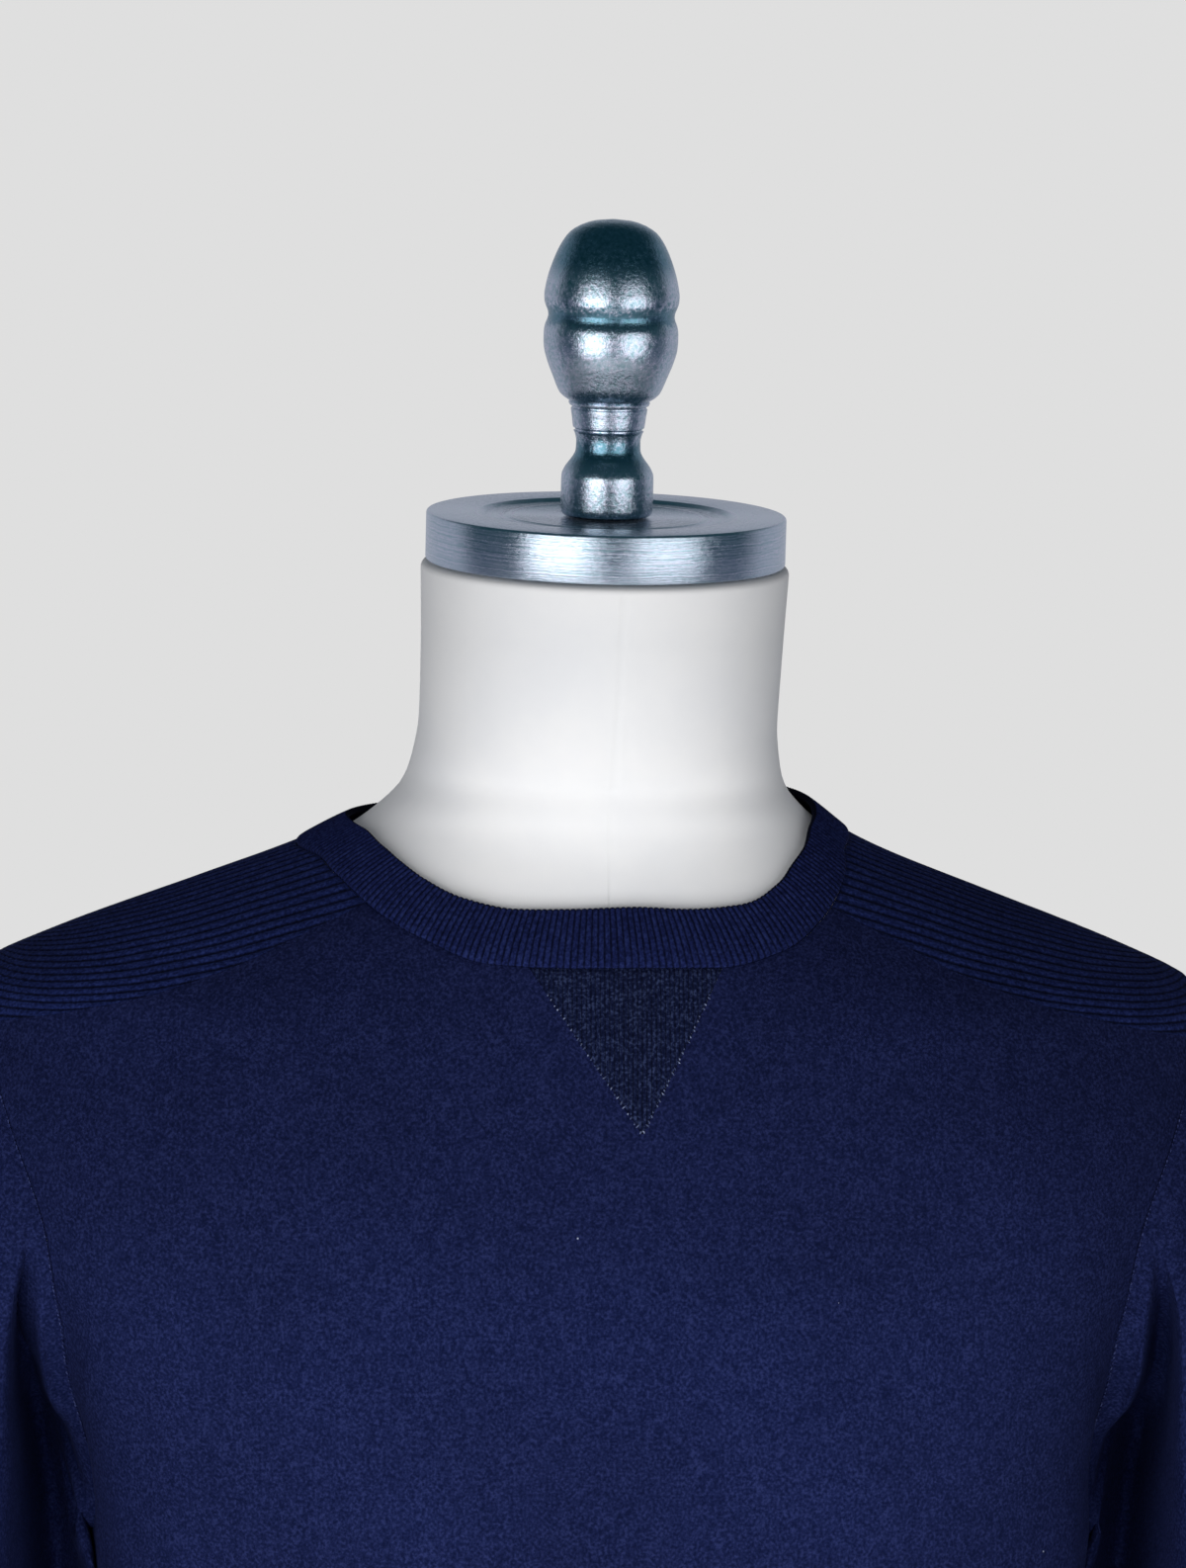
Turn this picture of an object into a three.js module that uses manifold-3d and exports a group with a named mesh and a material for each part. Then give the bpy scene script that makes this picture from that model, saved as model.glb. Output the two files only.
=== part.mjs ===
// A crew-neck sweater worn by a limbless tailor's dress form, in millimetres.
// +Z is up, the form faces -Y, and the origin is the centre of the base's underside.
// Every piece of cloth is a thin wall whose outer face lies on one body surface or on a sleeve.
import * as THREE from "three";
import { mergeVertices } from "three/addons/utils/BufferGeometryUtils.js";
import Module from "manifold-3d";

const wasm = await Module();
wasm.setup();

// Driving dimensions
const shoulderHeight = 860; // floor to the neckband seam at the shoulder, level 0 of every table
const clothWall = 1.6; // knitted cloth
const ribWall = 2.0; // hem and cuff rib, two layers pressed flat
const seamPull = 0.16; // each piece stops this far short of its seam
const sleevePull = 0.4; // the same where a sleeve turns outwards from the armhole
const hardGap = 0.3; // between two hard pieces that touch
const hemTop = -605; // level of the seam above the hem rib
const hemBottom = -665;
const underarm = -240; // level of the underarm point
const shoulderTip = -42; // level of the armhole's top
const panelCorner = 36; // place round the armhole, in degrees, where a shoulder panel starts
const neckCorner = 35; // turn at which a shoulder panel meets the neckband
const sleeveStraight = -330; // level where the sleeve starts to hang straight down
const cuffTop = -620;
const cuffBottom = -682;
const neckStart = 25; // above this level the form is a neck
const neckTop = 98.65; // top of the form's neck
const capRadius = 61.9;
const capThickness = 16.6;
const capRecess = 1.2; // depth of the cap's sunk middle
const capLevel = 99.1;
const sidewaysLean = 0.16; // how far the neck leans to the wearer's left for each mm forwards
const poleRadius = 16;
const baseRadius = 170;
const baseThickness = 14;
const formBottom = -700;

// Horizontal sections of the body. lean moves a section towards the back, nod tips it forwards.
const bodySections = [
  { level: -700, halfWidth: 165, front: 106, back: 107, flat: 2.5, side: 2.4, lean: 0, nod: 0 },
  { level: -665, halfWidth: 168, front: 109, back: 109, flat: 2.5, side: 2.4, lean: 0, nod: 0 },
  { level: -600, halfWidth: 172, front: 112, back: 110, flat: 2.5, side: 2.4, lean: 0, nod: 0 },
  { level: -500, halfWidth: 170, front: 112.5, back: 104, flat: 2.5, side: 2.4, lean: 0, nod: 0 },
  { level: -400, halfWidth: 170, front: 113.5, back: 102, flat: 2.5, side: 2.4, lean: 0, nod: 0 },
  { level: -300, halfWidth: 174, front: 117, back: 108, flat: 2.5, side: 2.4, lean: 0, nod: 0 },
  { level: -240, halfWidth: 177, front: 119, back: 114, flat: 2.6, side: 2.5, lean: 0, nod: 0 },
  { level: -203, halfWidth: 180.5, front: 119.3, back: 117, flat: 2.6, side: 2.5, lean: 0, nod: 0 },
  { level: -187, halfWidth: 185, front: 119, back: 118, flat: 2.6, side: 2.5, lean: 0, nod: 0 },
  { level: -158, halfWidth: 197.5, front: 117, back: 118.5, flat: 2.6, side: 2.5, lean: 0, nod: 0 },
  { level: -136, halfWidth: 206, front: 114.5, back: 118, flat: 2.6, side: 2.5, lean: 0, nod: 0 },
  { level: -107, halfWidth: 213.5, front: 110, back: 116, flat: 2.5, side: 2.4, lean: 0, nod: 0 },
  { level: -81, halfWidth: 217.5, front: 105, back: 112, flat: 2.3, side: 2.2, lean: 0, nod: 0 },
  { level: -62, halfWidth: 218, front: 100, back: 109, flat: 2.15, side: 1.95, lean: 0, nod: 0 },
  { level: -50, halfWidth: 215, front: 95.5, back: 106, flat: 2.1, side: 1.85, lean: 0, nod: 0 },
  { level: -42, halfWidth: 207, front: 91.5, back: 103, flat: 2.05, side: 1.75, lean: 0, nod: 0 },
  { level: -32, halfWidth: 186, front: 86.5, back: 98, flat: 2, side: 1.65, lean: 0, nod: 0 },
  { level: -13, halfWidth: 136, front: 75, back: 87, flat: 2, side: 1.65, lean: 0, nod: 0 },
  { level: 0, halfWidth: 101.5, front: 68, back: 79, flat: 2, side: 1.75, lean: 0, nod: 0 },
  { level: 5.8, halfWidth: 89.2, front: 66, back: 75, flat: 2, side: 1.8, lean: 0, nod: 0 },
  { level: 10.4, halfWidth: 81.8, front: 65, back: 72, flat: 2, side: 1.85, lean: 0, nod: 0 },
  { level: 14.5, halfWidth: 76.8, front: 64, back: 70, flat: 2, side: 1.9, lean: -1, nod: 0 },
  { level: 18.5, halfWidth: 72.5, front: 63, back: 68, flat: 2, side: 1.95, lean: -2, nod: 0 },
  { level: 24, halfWidth: 68, front: 62, back: 66, flat: 2, side: 2, lean: -3, nod: 0.2 },
  { level: 30, halfWidth: 66.2, front: 63, back: 65, flat: 2, side: 2, lean: -5, nod: 0.5 },
  { level: 45, halfWidth: 64.6, front: 64, back: 64, flat: 2, side: 2, lean: -9, nod: 1.2 },
  { level: 70, halfWidth: 65.2, front: 65, back: 65, flat: 2, side: 2, lean: -14, nod: 2.4 },
  { level: 100, halfWidth: 66.2, front: 66.2, back: 66.2, flat: 2, side: 2, lean: -18, nod: 3.3 },
];

// Neckband: level of its outer seam and of its edge at each turn round the neck (0 is centre front).
const neckline = [
  { turn: -180, seam: 4.5, edge: 23 },
  { turn: -150, seam: 4, edge: 19.5 },
  { turn: -120, seam: 2.2, edge: 14 },
  { turn: -90, seam: 0, edge: 10.8 },
  { turn: -66, seam: -1.3, edge: 7.3 },
  { turn: -50, seam: -5.8, edge: 3 },
  { turn: -40, seam: -10.5, edge: -1 },
  { turn: -30, seam: -17.2, edge: -6 },
  { turn: -20, seam: -24.8, edge: -11.2 },
  { turn: -12, seam: -30.8, edge: -13.6 },
  { turn: -5, seam: -31.5, edge: -13.2 },
  { turn: 5, seam: -31, edge: -12.2 },
  { turn: 12, seam: -30.9, edge: -12.8 },
  { turn: 20, seam: -26.4, edge: -11.7 },
  { turn: 30, seam: -17.1, edge: -6 },
  { turn: 40, seam: -9.1, edge: 0.3 },
  { turn: 50, seam: -3.2, edge: 5.8 },
  { turn: 65, seam: 3.2, edge: 13 },
  { turn: 90, seam: 5.8, edge: 19.5 },
  { turn: 120, seam: 7, edge: 23 },
  { turn: 150, seam: 6, edge: 25 },
  { turn: 180, seam: 4.5, edge: 23 },
];
const bandFan = 3; // degrees by which the rib of the neckband fans out from seam to edge
const bandCrown = 1.2; // how far the neckband rounds out between its seam and its edge

// Armhole seam: turn of the seam at each place round the armhole (0 at the shoulder, 180 underarm).
const armhole = [
  { around: -20, turn: 100.5 },
  { around: 0, turn: 90 },
  { around: 20, turn: 79.5 },
  { around: 40, turn: 71 },
  { around: 60, turn: 64 },
  { around: 80, turn: 59.8 },
  { around: 100, turn: 62 },
  { around: 120, turn: 71 },
  { around: 140, turn: 77.5 },
  { around: 160, turn: 83.5 },
  { around: 180, turn: 90 },
  { around: 200, turn: 96.5 },
];

// Front and back seam of a shoulder panel, from the neckband (0) to the armhole (1).
const panelSeam = [
  { along: 0, turn: 35, level: -13 },
  { along: 0.2, turn: 37, level: -24 },
  { along: 0.4, turn: 39, level: -34 },
  { along: 0.6, turn: 43.5, level: -43.5 },
  { along: 0.8, turn: 53.5, level: -52 },
  { along: 1, turn: 72.7, level: -60.9 },
];

// How a sleeve leaves the armhole. ring is the place on the hanging sleeve that it comes down to,
// out, back and down are its first direction, reach and drop set how far both ends run straight.
const sleeveHead = [
  { around: 0, ring: 0, out: 0.87, back: 0, down: 0.5, reach: 120, drop: 240 },
  { around: 36, ring: 52, out: 0.85, back: 0.05, down: 0.5, reach: 110, drop: 230 },
  { around: 60, ring: 84, out: 0.85, back: 0.15, down: 0.45, reach: 90, drop: 215 },
  { around: 84, ring: 116, out: 0.9, back: 0.1, down: 0.4, reach: 66, drop: 205 },
  { around: 100, ring: 137, out: 0.9, back: 0.25, down: 0.3, reach: 46, drop: 195 },
  { around: 116, ring: 158, out: 0.65, back: 0.7, down: 0.2, reach: 44, drop: 185 },
  { around: 148, ring: 170, out: 0.85, back: 0.5, down: 0, reach: 36, drop: 175 },
  { around: 180, ring: 180, out: 1, back: 0, down: -0.1, reach: 32, drop: 170 },
];

// Horizontal sections of a hanging sleeve, flattened against the side of the body.
const sleeveSections = [
  { level: -682, inner: 195, outer: 234, front: 43, back: 43, shift: -24 },
  { level: -620, inner: 194, outer: 237, front: 49, back: 50, shift: -20 },
  { level: -540, inner: 193, outer: 241, front: 58, back: 60, shift: -14 },
  { level: -470, inner: 192, outer: 244, front: 65, back: 67, shift: -8 },
  { level: -400, inner: 192, outer: 249, front: 72, back: 73, shift: -3 },
  { level: -330, inner: 193, outer: 251, front: 77, back: 77, shift: 0 },
];
const sleeveSquare = 3.2;

// Largest folds of the hanging cloth, as soft ridges (+) and troughs (-) on the body surface.
const bodyFolds = [
  { turn: -63, level: -500, length: 150, width: 16, lift: 3.2 },
  { turn: 58, level: -530, length: 130, width: 15, lift: 2.8 },
  { turn: -118, level: -470, length: 170, width: 17, lift: 3.6 },
  { turn: 125, level: -520, length: 150, width: 16, lift: 3.2 },
  { turn: 176, level: -430, length: 120, width: 22, lift: -3 },
];

// V of rib stitch under the neckband: its top corners and its point, as across and level.
const insertOutline = {
  topLeft: -25,
  topRight: 39,
  topLevel: -31.5,
  pointAcross: 12.5,
  pointLevel: -84,
};

// Room between the sweater's outer face and the form.
const formEase = [
  { level: -700, ease: 9 },
  { level: -600, ease: 10 },
  { level: -500, ease: 17 },
  { level: -400, ease: 24 },
  { level: -300, ease: 13 },
  { level: -240, ease: 9 },
  { level: -70, ease: 9 },
  { level: -50, ease: 6 },
  { level: -28, ease: 3.6 },
  { level: -8, ease: 2.6 },
  { level: 10, ease: 3 },
  { level: 98, ease: 3 },
];

// Levels of the form's rings above the underarm.
const formLevels = [-200, -160, -125, -95, -72, -55, -42, -30, -18, -6, 4, 12, 20, 30, 48, 72, neckTop];

// Half outline of the finial, from the cap upwards.
const finialOutline = [
  { height: 0, radius: 15.6 },
  { height: 10.5, radius: 15.6 },
  { height: 16, radius: 14.1 },
  { height: 20, radius: 11.4 },
  { height: 23.5, radius: 10.9 },
  { height: 26.9, radius: 12.9 },
  { height: 30, radius: 12.1 },
  { height: 33.5, radius: 12.8 },
  { height: 37.7, radius: 14.8 },
  { height: 42, radius: 18 },
  { height: 51, radius: 21.4 },
  { height: 57, radius: 22.7 },
  { height: 62.5, radius: 21.9 },
  { height: 67.7, radius: 21.4 },
  { height: 73.1, radius: 23 },
  { height: 80, radius: 21.9 },
  { height: 87, radius: 19.8 },
  { height: 93, radius: 16.8 },
  { height: 98, radius: 11.5 },
  { height: 100.5, radius: 5 },
  { height: 101, radius: 0 },
];

const materials = {
  jersey: new THREE.MeshStandardMaterial({ color: 0x1a2145, roughness: 0.85, metalness: 0 }),
  rib: new THREE.MeshStandardMaterial({ color: 0x121a38, roughness: 0.88, metalness: 0 }),
  canvas: new THREE.MeshStandardMaterial({ color: 0xe2e2df, roughness: 0.8, metalness: 0 }),
  metal: new THREE.MeshStandardMaterial({ color: 0x9aa6ad, roughness: 0.28, metalness: 1 }),
  paintedSteel: new THREE.MeshStandardMaterial({ color: 0x2b2d30, roughness: 0.5, metalness: 0.6 }),
};

// Value of a table's column at a place along its key: a smooth curve that keeps to the rows' range.
function column(table, key, name, at) {
  const last = table.length - 1;
  const x = Math.min(Math.max(at, table[0][key]), table[last][key]);
  let i = 0;
  while (i < last - 1 && x > table[i + 1][key]) i++;
  const slope = (k) => (table[k + 1][name] - table[k][name]) / (table[k + 1][key] - table[k][key]);
  const tangent = (k) => {
    if (k === 0) return slope(0);
    if (k === last) return slope(last - 1);
    const [before, after] = [slope(k - 1), slope(k)];
    return before * after <= 0 ? 0 : (2 * before * after) / (before + after);
  };
  const span = table[i + 1][key] - table[i][key];
  const t = (x - table[i][key]) / span;
  return (
    (1 + 2 * t) * (1 - t) ** 2 * table[i][name] +
    t * (1 - t) ** 2 * span * tangent(i) +
    t * t * (3 - 2 * t) * table[i + 1][name] +
    t * t * (t - 1) * span * tangent(i + 1)
  );
}

const radians = THREE.MathUtils.degToRad;
const signedPower = (value, power) => Math.sign(value) * Math.abs(value) ** power;
const limited = (index, length) => Math.min(Math.max(index, 0), length - 1);
const wrapTurn = (turn) => ((((turn + 180) % 360) + 360) % 360) - 180;
const steps = (count, from, to) =>
  Array.from({ length: count + 1 }, (_, i) => from + ((to - from) * i) / count);

// Soft fold at a place of the body surface.
function foldLift(turn, level) {
  return bodyFolds.reduce((sum, fold) => {
    const across = wrapTurn(turn - fold.turn) / fold.width;
    const along = (level - fold.level) / fold.length;
    return sum + fold.lift * Math.exp(-across * across - along * along);
  }, 0);
}

// Point of the body surface at a turn from centre front (+90 is the wearer's left side) and a level.
function bodyPoint(turn, level) {
  const value = (name) => column(bodySections, "level", name, level);
  const [sine, cosine] = [Math.sin(radians(turn)), Math.cos(radians(turn))];
  const lift = foldLift(turn, level);
  const depth = lift + (cosine > 0 ? value("front") : value("back"));
  const across = (lift + value("halfWidth")) * signedPower(sine, 2 / value("flat"));
  const along = -depth * signedPower(cosine, 2 / value("side"));
  const lean = value("lean");
  return new THREE.Vector3(
    across - sidewaysLean * lean,
    lean + along,
    shoulderHeight + level + along * Math.tan(radians(value("nod"))),
  );
}

function bodyNormal(turn, level) {
  const half = 0.5;
  const alongTurn = bodyPoint(turn + half, level).sub(bodyPoint(turn - half, level));
  const alongLevel = bodyPoint(turn, level + half).sub(bodyPoint(turn, level - half));
  return alongTurn.cross(alongLevel).normalize();
}

// Grid of {turn, level} places between four edges that share their corners.
function blendEdges(bottom, top, start, end) {
  const [rows, columns] = [start.length - 1, bottom.length - 1];
  const mix = (name, i, j) => {
    const [v, u] = [i / rows, j / columns];
    return (
      (1 - v) * bottom[j][name] + v * top[j][name] + (1 - u) * start[i][name] + u * end[i][name] -
      (1 - v) * ((1 - u) * bottom[0][name] + u * bottom[columns][name]) -
      v * ((1 - u) * top[0][name] + u * top[columns][name])
    );
  };
  return start.map((_, i) =>
    bottom.map((__, j) => ({ turn: mix("turn", i, j), level: mix("level", i, j) })),
  );
}

// Moves the outermost points of a grid inwards, square to its edges, to leave the gap at the seams.
function pullEdges(grid, ring, startPull) {
  const [rows, columns] = [grid.length, grid[0].length];
  const moved = grid.map((row) => row.map((point) => point.clone()));
  const pull = (i, j, inwards, stepI, stepJ, amount) => {
    const at = (k) => {
      const column = ring ? (j + k * stepJ + columns) % columns : limited(j + k * stepJ, columns);
      return grid[limited(i + k * stepI, rows)][column];
    };
    const edge = at(1).clone().sub(at(-1)).normalize();
    const step = grid[inwards[0]][inwards[1]].clone().sub(grid[i][j]);
    step.addScaledVector(edge, -step.dot(edge)).normalize();
    moved[i][j].addScaledVector(step, amount);
  };
  for (let j = 0; j < columns; j++) {
    pull(0, j, [1, j], 0, 1, startPull);
    pull(rows - 1, j, [rows - 2, j], 0, 1, seamPull);
  }
  if (!ring)
    for (let i = 0; i < rows; i++) {
      pull(i, 0, [i, 1], 1, 0, seamPull);
      pull(i, columns - 1, [i, columns - 2], 1, 0, seamPull);
    }
  return moved;
}

// Closed wall between an outer and an inner grid. A ring's columns close on themselves.
function wall(outerGrid, innerGrid, ring, startPull = seamPull) {
  const outer = pullEdges(outerGrid, ring, startPull);
  const inner = pullEdges(innerGrid, ring, startPull);
  const [rows, columns] = [outer.length, outer[0].length];
  const span = ring ? columns : columns - 1;
  const faces = [];
  const quad = (a, b, c, d) => faces.push(a, b, c, a, c, d);
  const at = (side, i, j) => side * rows * columns + i * columns + (j % columns);
  for (let i = 0; i < rows - 1; i++)
    for (let j = 0; j < span; j++) {
      quad(at(0, i, j), at(0, i, j + 1), at(0, i + 1, j + 1), at(0, i + 1, j));
      quad(at(1, i + 1, j), at(1, i + 1, j + 1), at(1, i, j + 1), at(1, i, j));
    }
  for (let j = 0; j < span; j++) {
    quad(at(1, 0, j), at(1, 0, j + 1), at(0, 0, j + 1), at(0, 0, j));
    quad(at(0, rows - 1, j), at(0, rows - 1, j + 1), at(1, rows - 1, j + 1), at(1, rows - 1, j));
  }
  if (!ring)
    for (let i = 0; i < rows - 1; i++) {
      quad(at(0, i, 0), at(0, i + 1, 0), at(1, i + 1, 0), at(1, i, 0));
      quad(at(1, i, span), at(1, i + 1, span), at(0, i + 1, span), at(0, i, span));
    }
  return closedGeometry([...outer.flat(), ...inner.flat()], faces);
}

// Geometry of a closed surface, turned round if its faces point inwards.
function closedGeometry(points, faces) {
  let volume = 0;
  for (let i = 0; i < faces.length; i += 3) {
    const [a, b, c] = faces.slice(i, i + 3).map((k) => points[k]);
    volume += a.dot(b.clone().cross(c));
  }
  const index = volume < 0 ? faces.toReversed() : faces;
  return new THREE.BufferGeometry().setFromPoints(points).setIndex(index);
}

// Wall of cloth whose outer face lies on the body surface at a grid of places.
function bodyWall(places, thickness) {
  const outer = places.map((row) => row.map(({ turn, level }) => bodyPoint(turn, level)));
  const inner = places.map((row, i) =>
    row.map(({ turn, level }, j) =>
      outer[i][j].clone().addScaledVector(bodyNormal(turn, level), -thickness),
    ),
  );
  return wall(outer, inner, false);
}

// Seams, as lists of places that the pieces on both sides share
const seamLevelAtNeck = (turn) => column(neckline, "turn", "seam", wrapTurn(turn));
const neckSeam = (turns) => turns.map((turn) => ({ turn, level: seamLevelAtNeck(turn) }));

function armholeSeam(places) {
  return places.map((around) => {
    const behind = wrapTurn(around) < 0;
    const turn = column(armhole, "around", "turn", Math.abs(wrapTurn(around)));
    const drop = (1 - Math.cos(radians(around))) / 2;
    return {
      turn: behind ? 180 - turn : turn,
      level: shoulderTip + (underarm - shoulderTip) * drop,
    };
  });
}

// From the neckband to the armhole, on the front or on the back, with its ends on both seams.
function panelSeamPlaces(count, behind) {
  const neckEnd = neckSeam([behind ? 180 - neckCorner : neckCorner])[0];
  const armEnd = armholeSeam([panelCorner])[0];
  return steps(count, 0, 1).map((along) => {
    const turn = column(panelSeam, "along", "turn", along);
    const level = column(panelSeam, "along", "level", along);
    const [first, last] = [panelSeam[0], panelSeam.at(-1)];
    const frontTurn = turn + (armEnd.turn - last.turn) * along;
    return {
      turn: behind ? 180 - frontTurn : frontTurn,
      level: level + (neckEnd.level - first.level) * (1 - along) + (armEnd.level - last.level) * along,
    };
  });
}

// The same seam on the wearer's right, where turns are negative.
function rightPanelSeam(count, behind) {
  const cornerTurn = behind ? neckCorner - 180 : -neckCorner;
  const shift = seamLevelAtNeck(cornerTurn) - seamLevelAtNeck(behind ? 180 - neckCorner : neckCorner);
  return panelSeamPlaces(count, behind).map(({ turn, level }, i) => ({
    turn: -turn,
    level: level + shift * (1 - i / count),
  }));
}

const mirrored = (places) => places.map(({ turn, level }) => ({ turn: -turn, level }));
const shifted = (places, by) => places.map(({ turn, level }) => ({ turn: turn + by, level }));

// How many steps each stretch of the grids has
const counts = {
  panelSeam: 7,
  neckFront: 14,
  sideSeam: 8,
  armholeSide: 9,
  overShoulder: 8,
  bandRows: 3,
  hemRows: 2,
  sleeveRows: 6,
  cuffRows: 2,
  formRows: 9,
  formTurns: 32,
  finialTurns: 28,
  poleTurns: 24,
  discTurns: 48,
};
const hemTurns = steps(2 * counts.panelSeam + counts.neckFront, -90, 90);
const sideLevels = steps(counts.sideSeam, hemTop, underarm);

// Front panel, or the back panel, whose turns run from the wearer's left round to the right.
function bodyPanel(behind) {
  const centre = behind ? 180 : 0;
  const bottom = hemTurns.map((turn) => ({ turn: centre + turn, level: hemTop }));
  const arm = armholeSeam(steps(counts.armholeSide, 180, panelCorner));
  const sideEdge = [
    ...sideLevels.slice(0, -1).map((level) => ({ turn: 90, level })),
    ...arm,
  ];
  const neckTurns = steps(counts.neckFront, centre - neckCorner, centre + neckCorner);
  let first, last, topFirst, topLast;
  if (behind) {
    first = sideEdge.map(({ turn, level }) => ({ turn: 180 - turn, level }));
    last = sideEdge.map(({ turn, level }) => ({ turn: 180 + turn, level }));
    topFirst = panelSeamPlaces(counts.panelSeam, true).reverse();
    topLast = shifted(rightPanelSeam(counts.panelSeam, true), 360);
  } else {
    first = mirrored(sideEdge);
    last = sideEdge;
    topFirst = rightPanelSeam(counts.panelSeam, false).reverse();
    topLast = panelSeamPlaces(counts.panelSeam, false);
  }
  const top = [...topFirst, ...neckSeam(neckTurns).slice(1, -1), ...topLast];
  return bodyWall(blendEdges(bottom, top, first, last), clothWall);
}

function shoulderPanel(side) {
  const seams = side > 0 ? panelSeamPlaces : rightPanelSeam;
  const front = seams(counts.panelSeam, false);
  const back = seams(counts.panelSeam, true);
  const neckTurns = steps(counts.overShoulder, neckCorner, 180 - neckCorner);
  const neck = neckSeam(neckTurns.map((turn) => side * turn));
  const over = armholeSeam(steps(counts.overShoulder, panelCorner, -panelCorner));
  const arm = side > 0 ? over : mirrored(over);
  return bodyWall(blendEdges(front, back, neck, arm), clothWall);
}

function hemRib(behind) {
  const centre = behind ? 180 : 0;
  const places = steps(counts.hemRows, hemBottom, hemTop).map((level) =>
    hemTurns.map((turn) => ({ turn: centre + turn, level })),
  );
  return bodyWall(places, ribWall);
}

// Neckband ring: from its seam on the body surface to its edge, slightly rounded outwards.
function neckband() {
  const [front, over] = [counts.neckFront, counts.overShoulder];
  const turns = [
    ...steps(front, -neckCorner, neckCorner).slice(0, -1),
    ...steps(over, neckCorner, 180 - neckCorner).slice(0, -1),
    ...steps(front, 180 - neckCorner, 180 + neckCorner).slice(0, -1),
    ...steps(over, 180 + neckCorner, 360 - neckCorner).slice(0, -1),
  ];
  const crownRows = steps(counts.bandRows, 0, 1);
  const grids = [0, clothWall].map((depth) =>
    crownRows.map((across) =>
      turns.map((turn) => {
        const seam = seamLevelAtNeck(turn);
        const edgeTurn = turn + bandFan * Math.sin(radians(2 * turn));
        const edge = column(neckline, "turn", "edge", wrapTurn(edgeTurn));
        const place = [turn + (edgeTurn - turn) * across, seam + (edge - seam) * across];
        const out = bandCrown * 4 * across * (1 - across) - depth;
        return bodyPoint(...place).addScaledVector(bodyNormal(...place), out);
      }),
    ),
  );
  return wall(...grids, true);
}

// Ring of a hanging sleeve at a level. place runs from the outer side (0) over the front (90).
function sleeveRing(place, level) {
  const value = (name) => column(sleeveSections, "level", name, level);
  const [sine, cosine] = [Math.sin(radians(place)), Math.cos(radians(place))];
  const [inner, outer] = [value("inner"), value("outer")];
  return new THREE.Vector3(
    (inner + outer) / 2 + ((outer - inner) / 2) * signedPower(cosine, 2 / sleeveSquare),
    value("shift") - (sine > 0 ? value("front") : value("back")) * signedPower(sine, 2 / sleeveSquare),
    shoulderHeight + level,
  );
}

const sleevePlaces = [
  ...steps(counts.overShoulder, -panelCorner, panelCorner).slice(0, -1),
  ...steps(counts.armholeSide, panelCorner, 180).slice(0, -1),
  ...steps(counts.armholeSide, 180, 360 - panelCorner).slice(0, -1),
];

function sleeveHeadPoint(around, along) {
  const place = wrapTurn(around);
  const side = place < 0 ? -1 : 1;
  const value = (name) => column(sleeveHead, "around", name, Math.abs(place));
  const seam = armholeSeam([around])[0];
  const start = bodyPoint(seam.turn, seam.level);
  const finish = sleeveRing(side * value("ring"), sleeveStraight);
  const leave = new THREE.Vector3(value("out"), side * value("back"), -value("down"));
  leave.normalize().multiplyScalar(value("reach"));
  const t = along;
  return start
    .multiplyScalar((1 + 2 * t) * (1 - t) ** 2)
    .addScaledVector(leave, t * (1 - t) ** 2)
    .addScaledVector(finish, t * t * (3 - 2 * t))
    .addScaledVector(new THREE.Vector3(0, 0, -value("drop")), t * t * (t - 1));
}

function sleeveRingPlace(around) {
  const place = wrapTurn(around);
  return (place < 0 ? -1 : 1) * column(sleeveHead, "around", "ring", Math.abs(place));
}

// Grid of a ring-shaped tube moved inwards along its own normals. A given first row is kept.
function innerRing(outer, thickness, firstRow) {
  const [rows, columns] = [outer.length, outer[0].length];
  return outer.map((row, i) =>
    row.map((point, j) => {
      if (firstRow && i === 0) return firstRow[j];
      const around = row[(j + 1) % columns].clone().sub(row[(j + columns - 1) % columns]);
      const down = outer[Math.min(i + 1, rows - 1)][j].clone().sub(outer[Math.max(i - 1, 0)][j]);
      return point.clone().addScaledVector(around.cross(down).normalize(), -thickness);
    }),
  );
}

const mirrorX = (grid, side) =>
  grid.map((row) => row.map((point) => new THREE.Vector3(side * point.x, point.y, point.z)));

function sleeve(side) {
  const headRows = [0, 0.05, 0.13, 0.23, 0.36, 0.52, 0.72]; // closer together near the armhole
  const outer = [
    ...headRows.map((along) => sleevePlaces.map((around) => sleeveHeadPoint(around, along))),
    ...steps(counts.sleeveRows, sleeveStraight, cuffTop).map((level) =>
      sleevePlaces.map((around) => sleeveRing(sleeveRingPlace(around), level)),
    ),
  ];
  const seamEdge = armholeSeam(sleevePlaces).map(({ turn, level }, j) =>
    outer[0][j].clone().addScaledVector(bodyNormal(turn, level), -clothWall),
  );
  const inner = innerRing(outer, clothWall, seamEdge);
  return wall(mirrorX(outer, side), mirrorX(inner, side), true, sleevePull);
}

function cuff(side) {
  const outer = steps(counts.cuffRows, cuffTop, cuffBottom).map((level) =>
    sleevePlaces.map((around) => sleeveRing(sleeveRingPlace(around), level)),
  );
  return wall(mirrorX(outer, side), mirrorX(innerRing(outer, ribWall), side), true);
}

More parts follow.
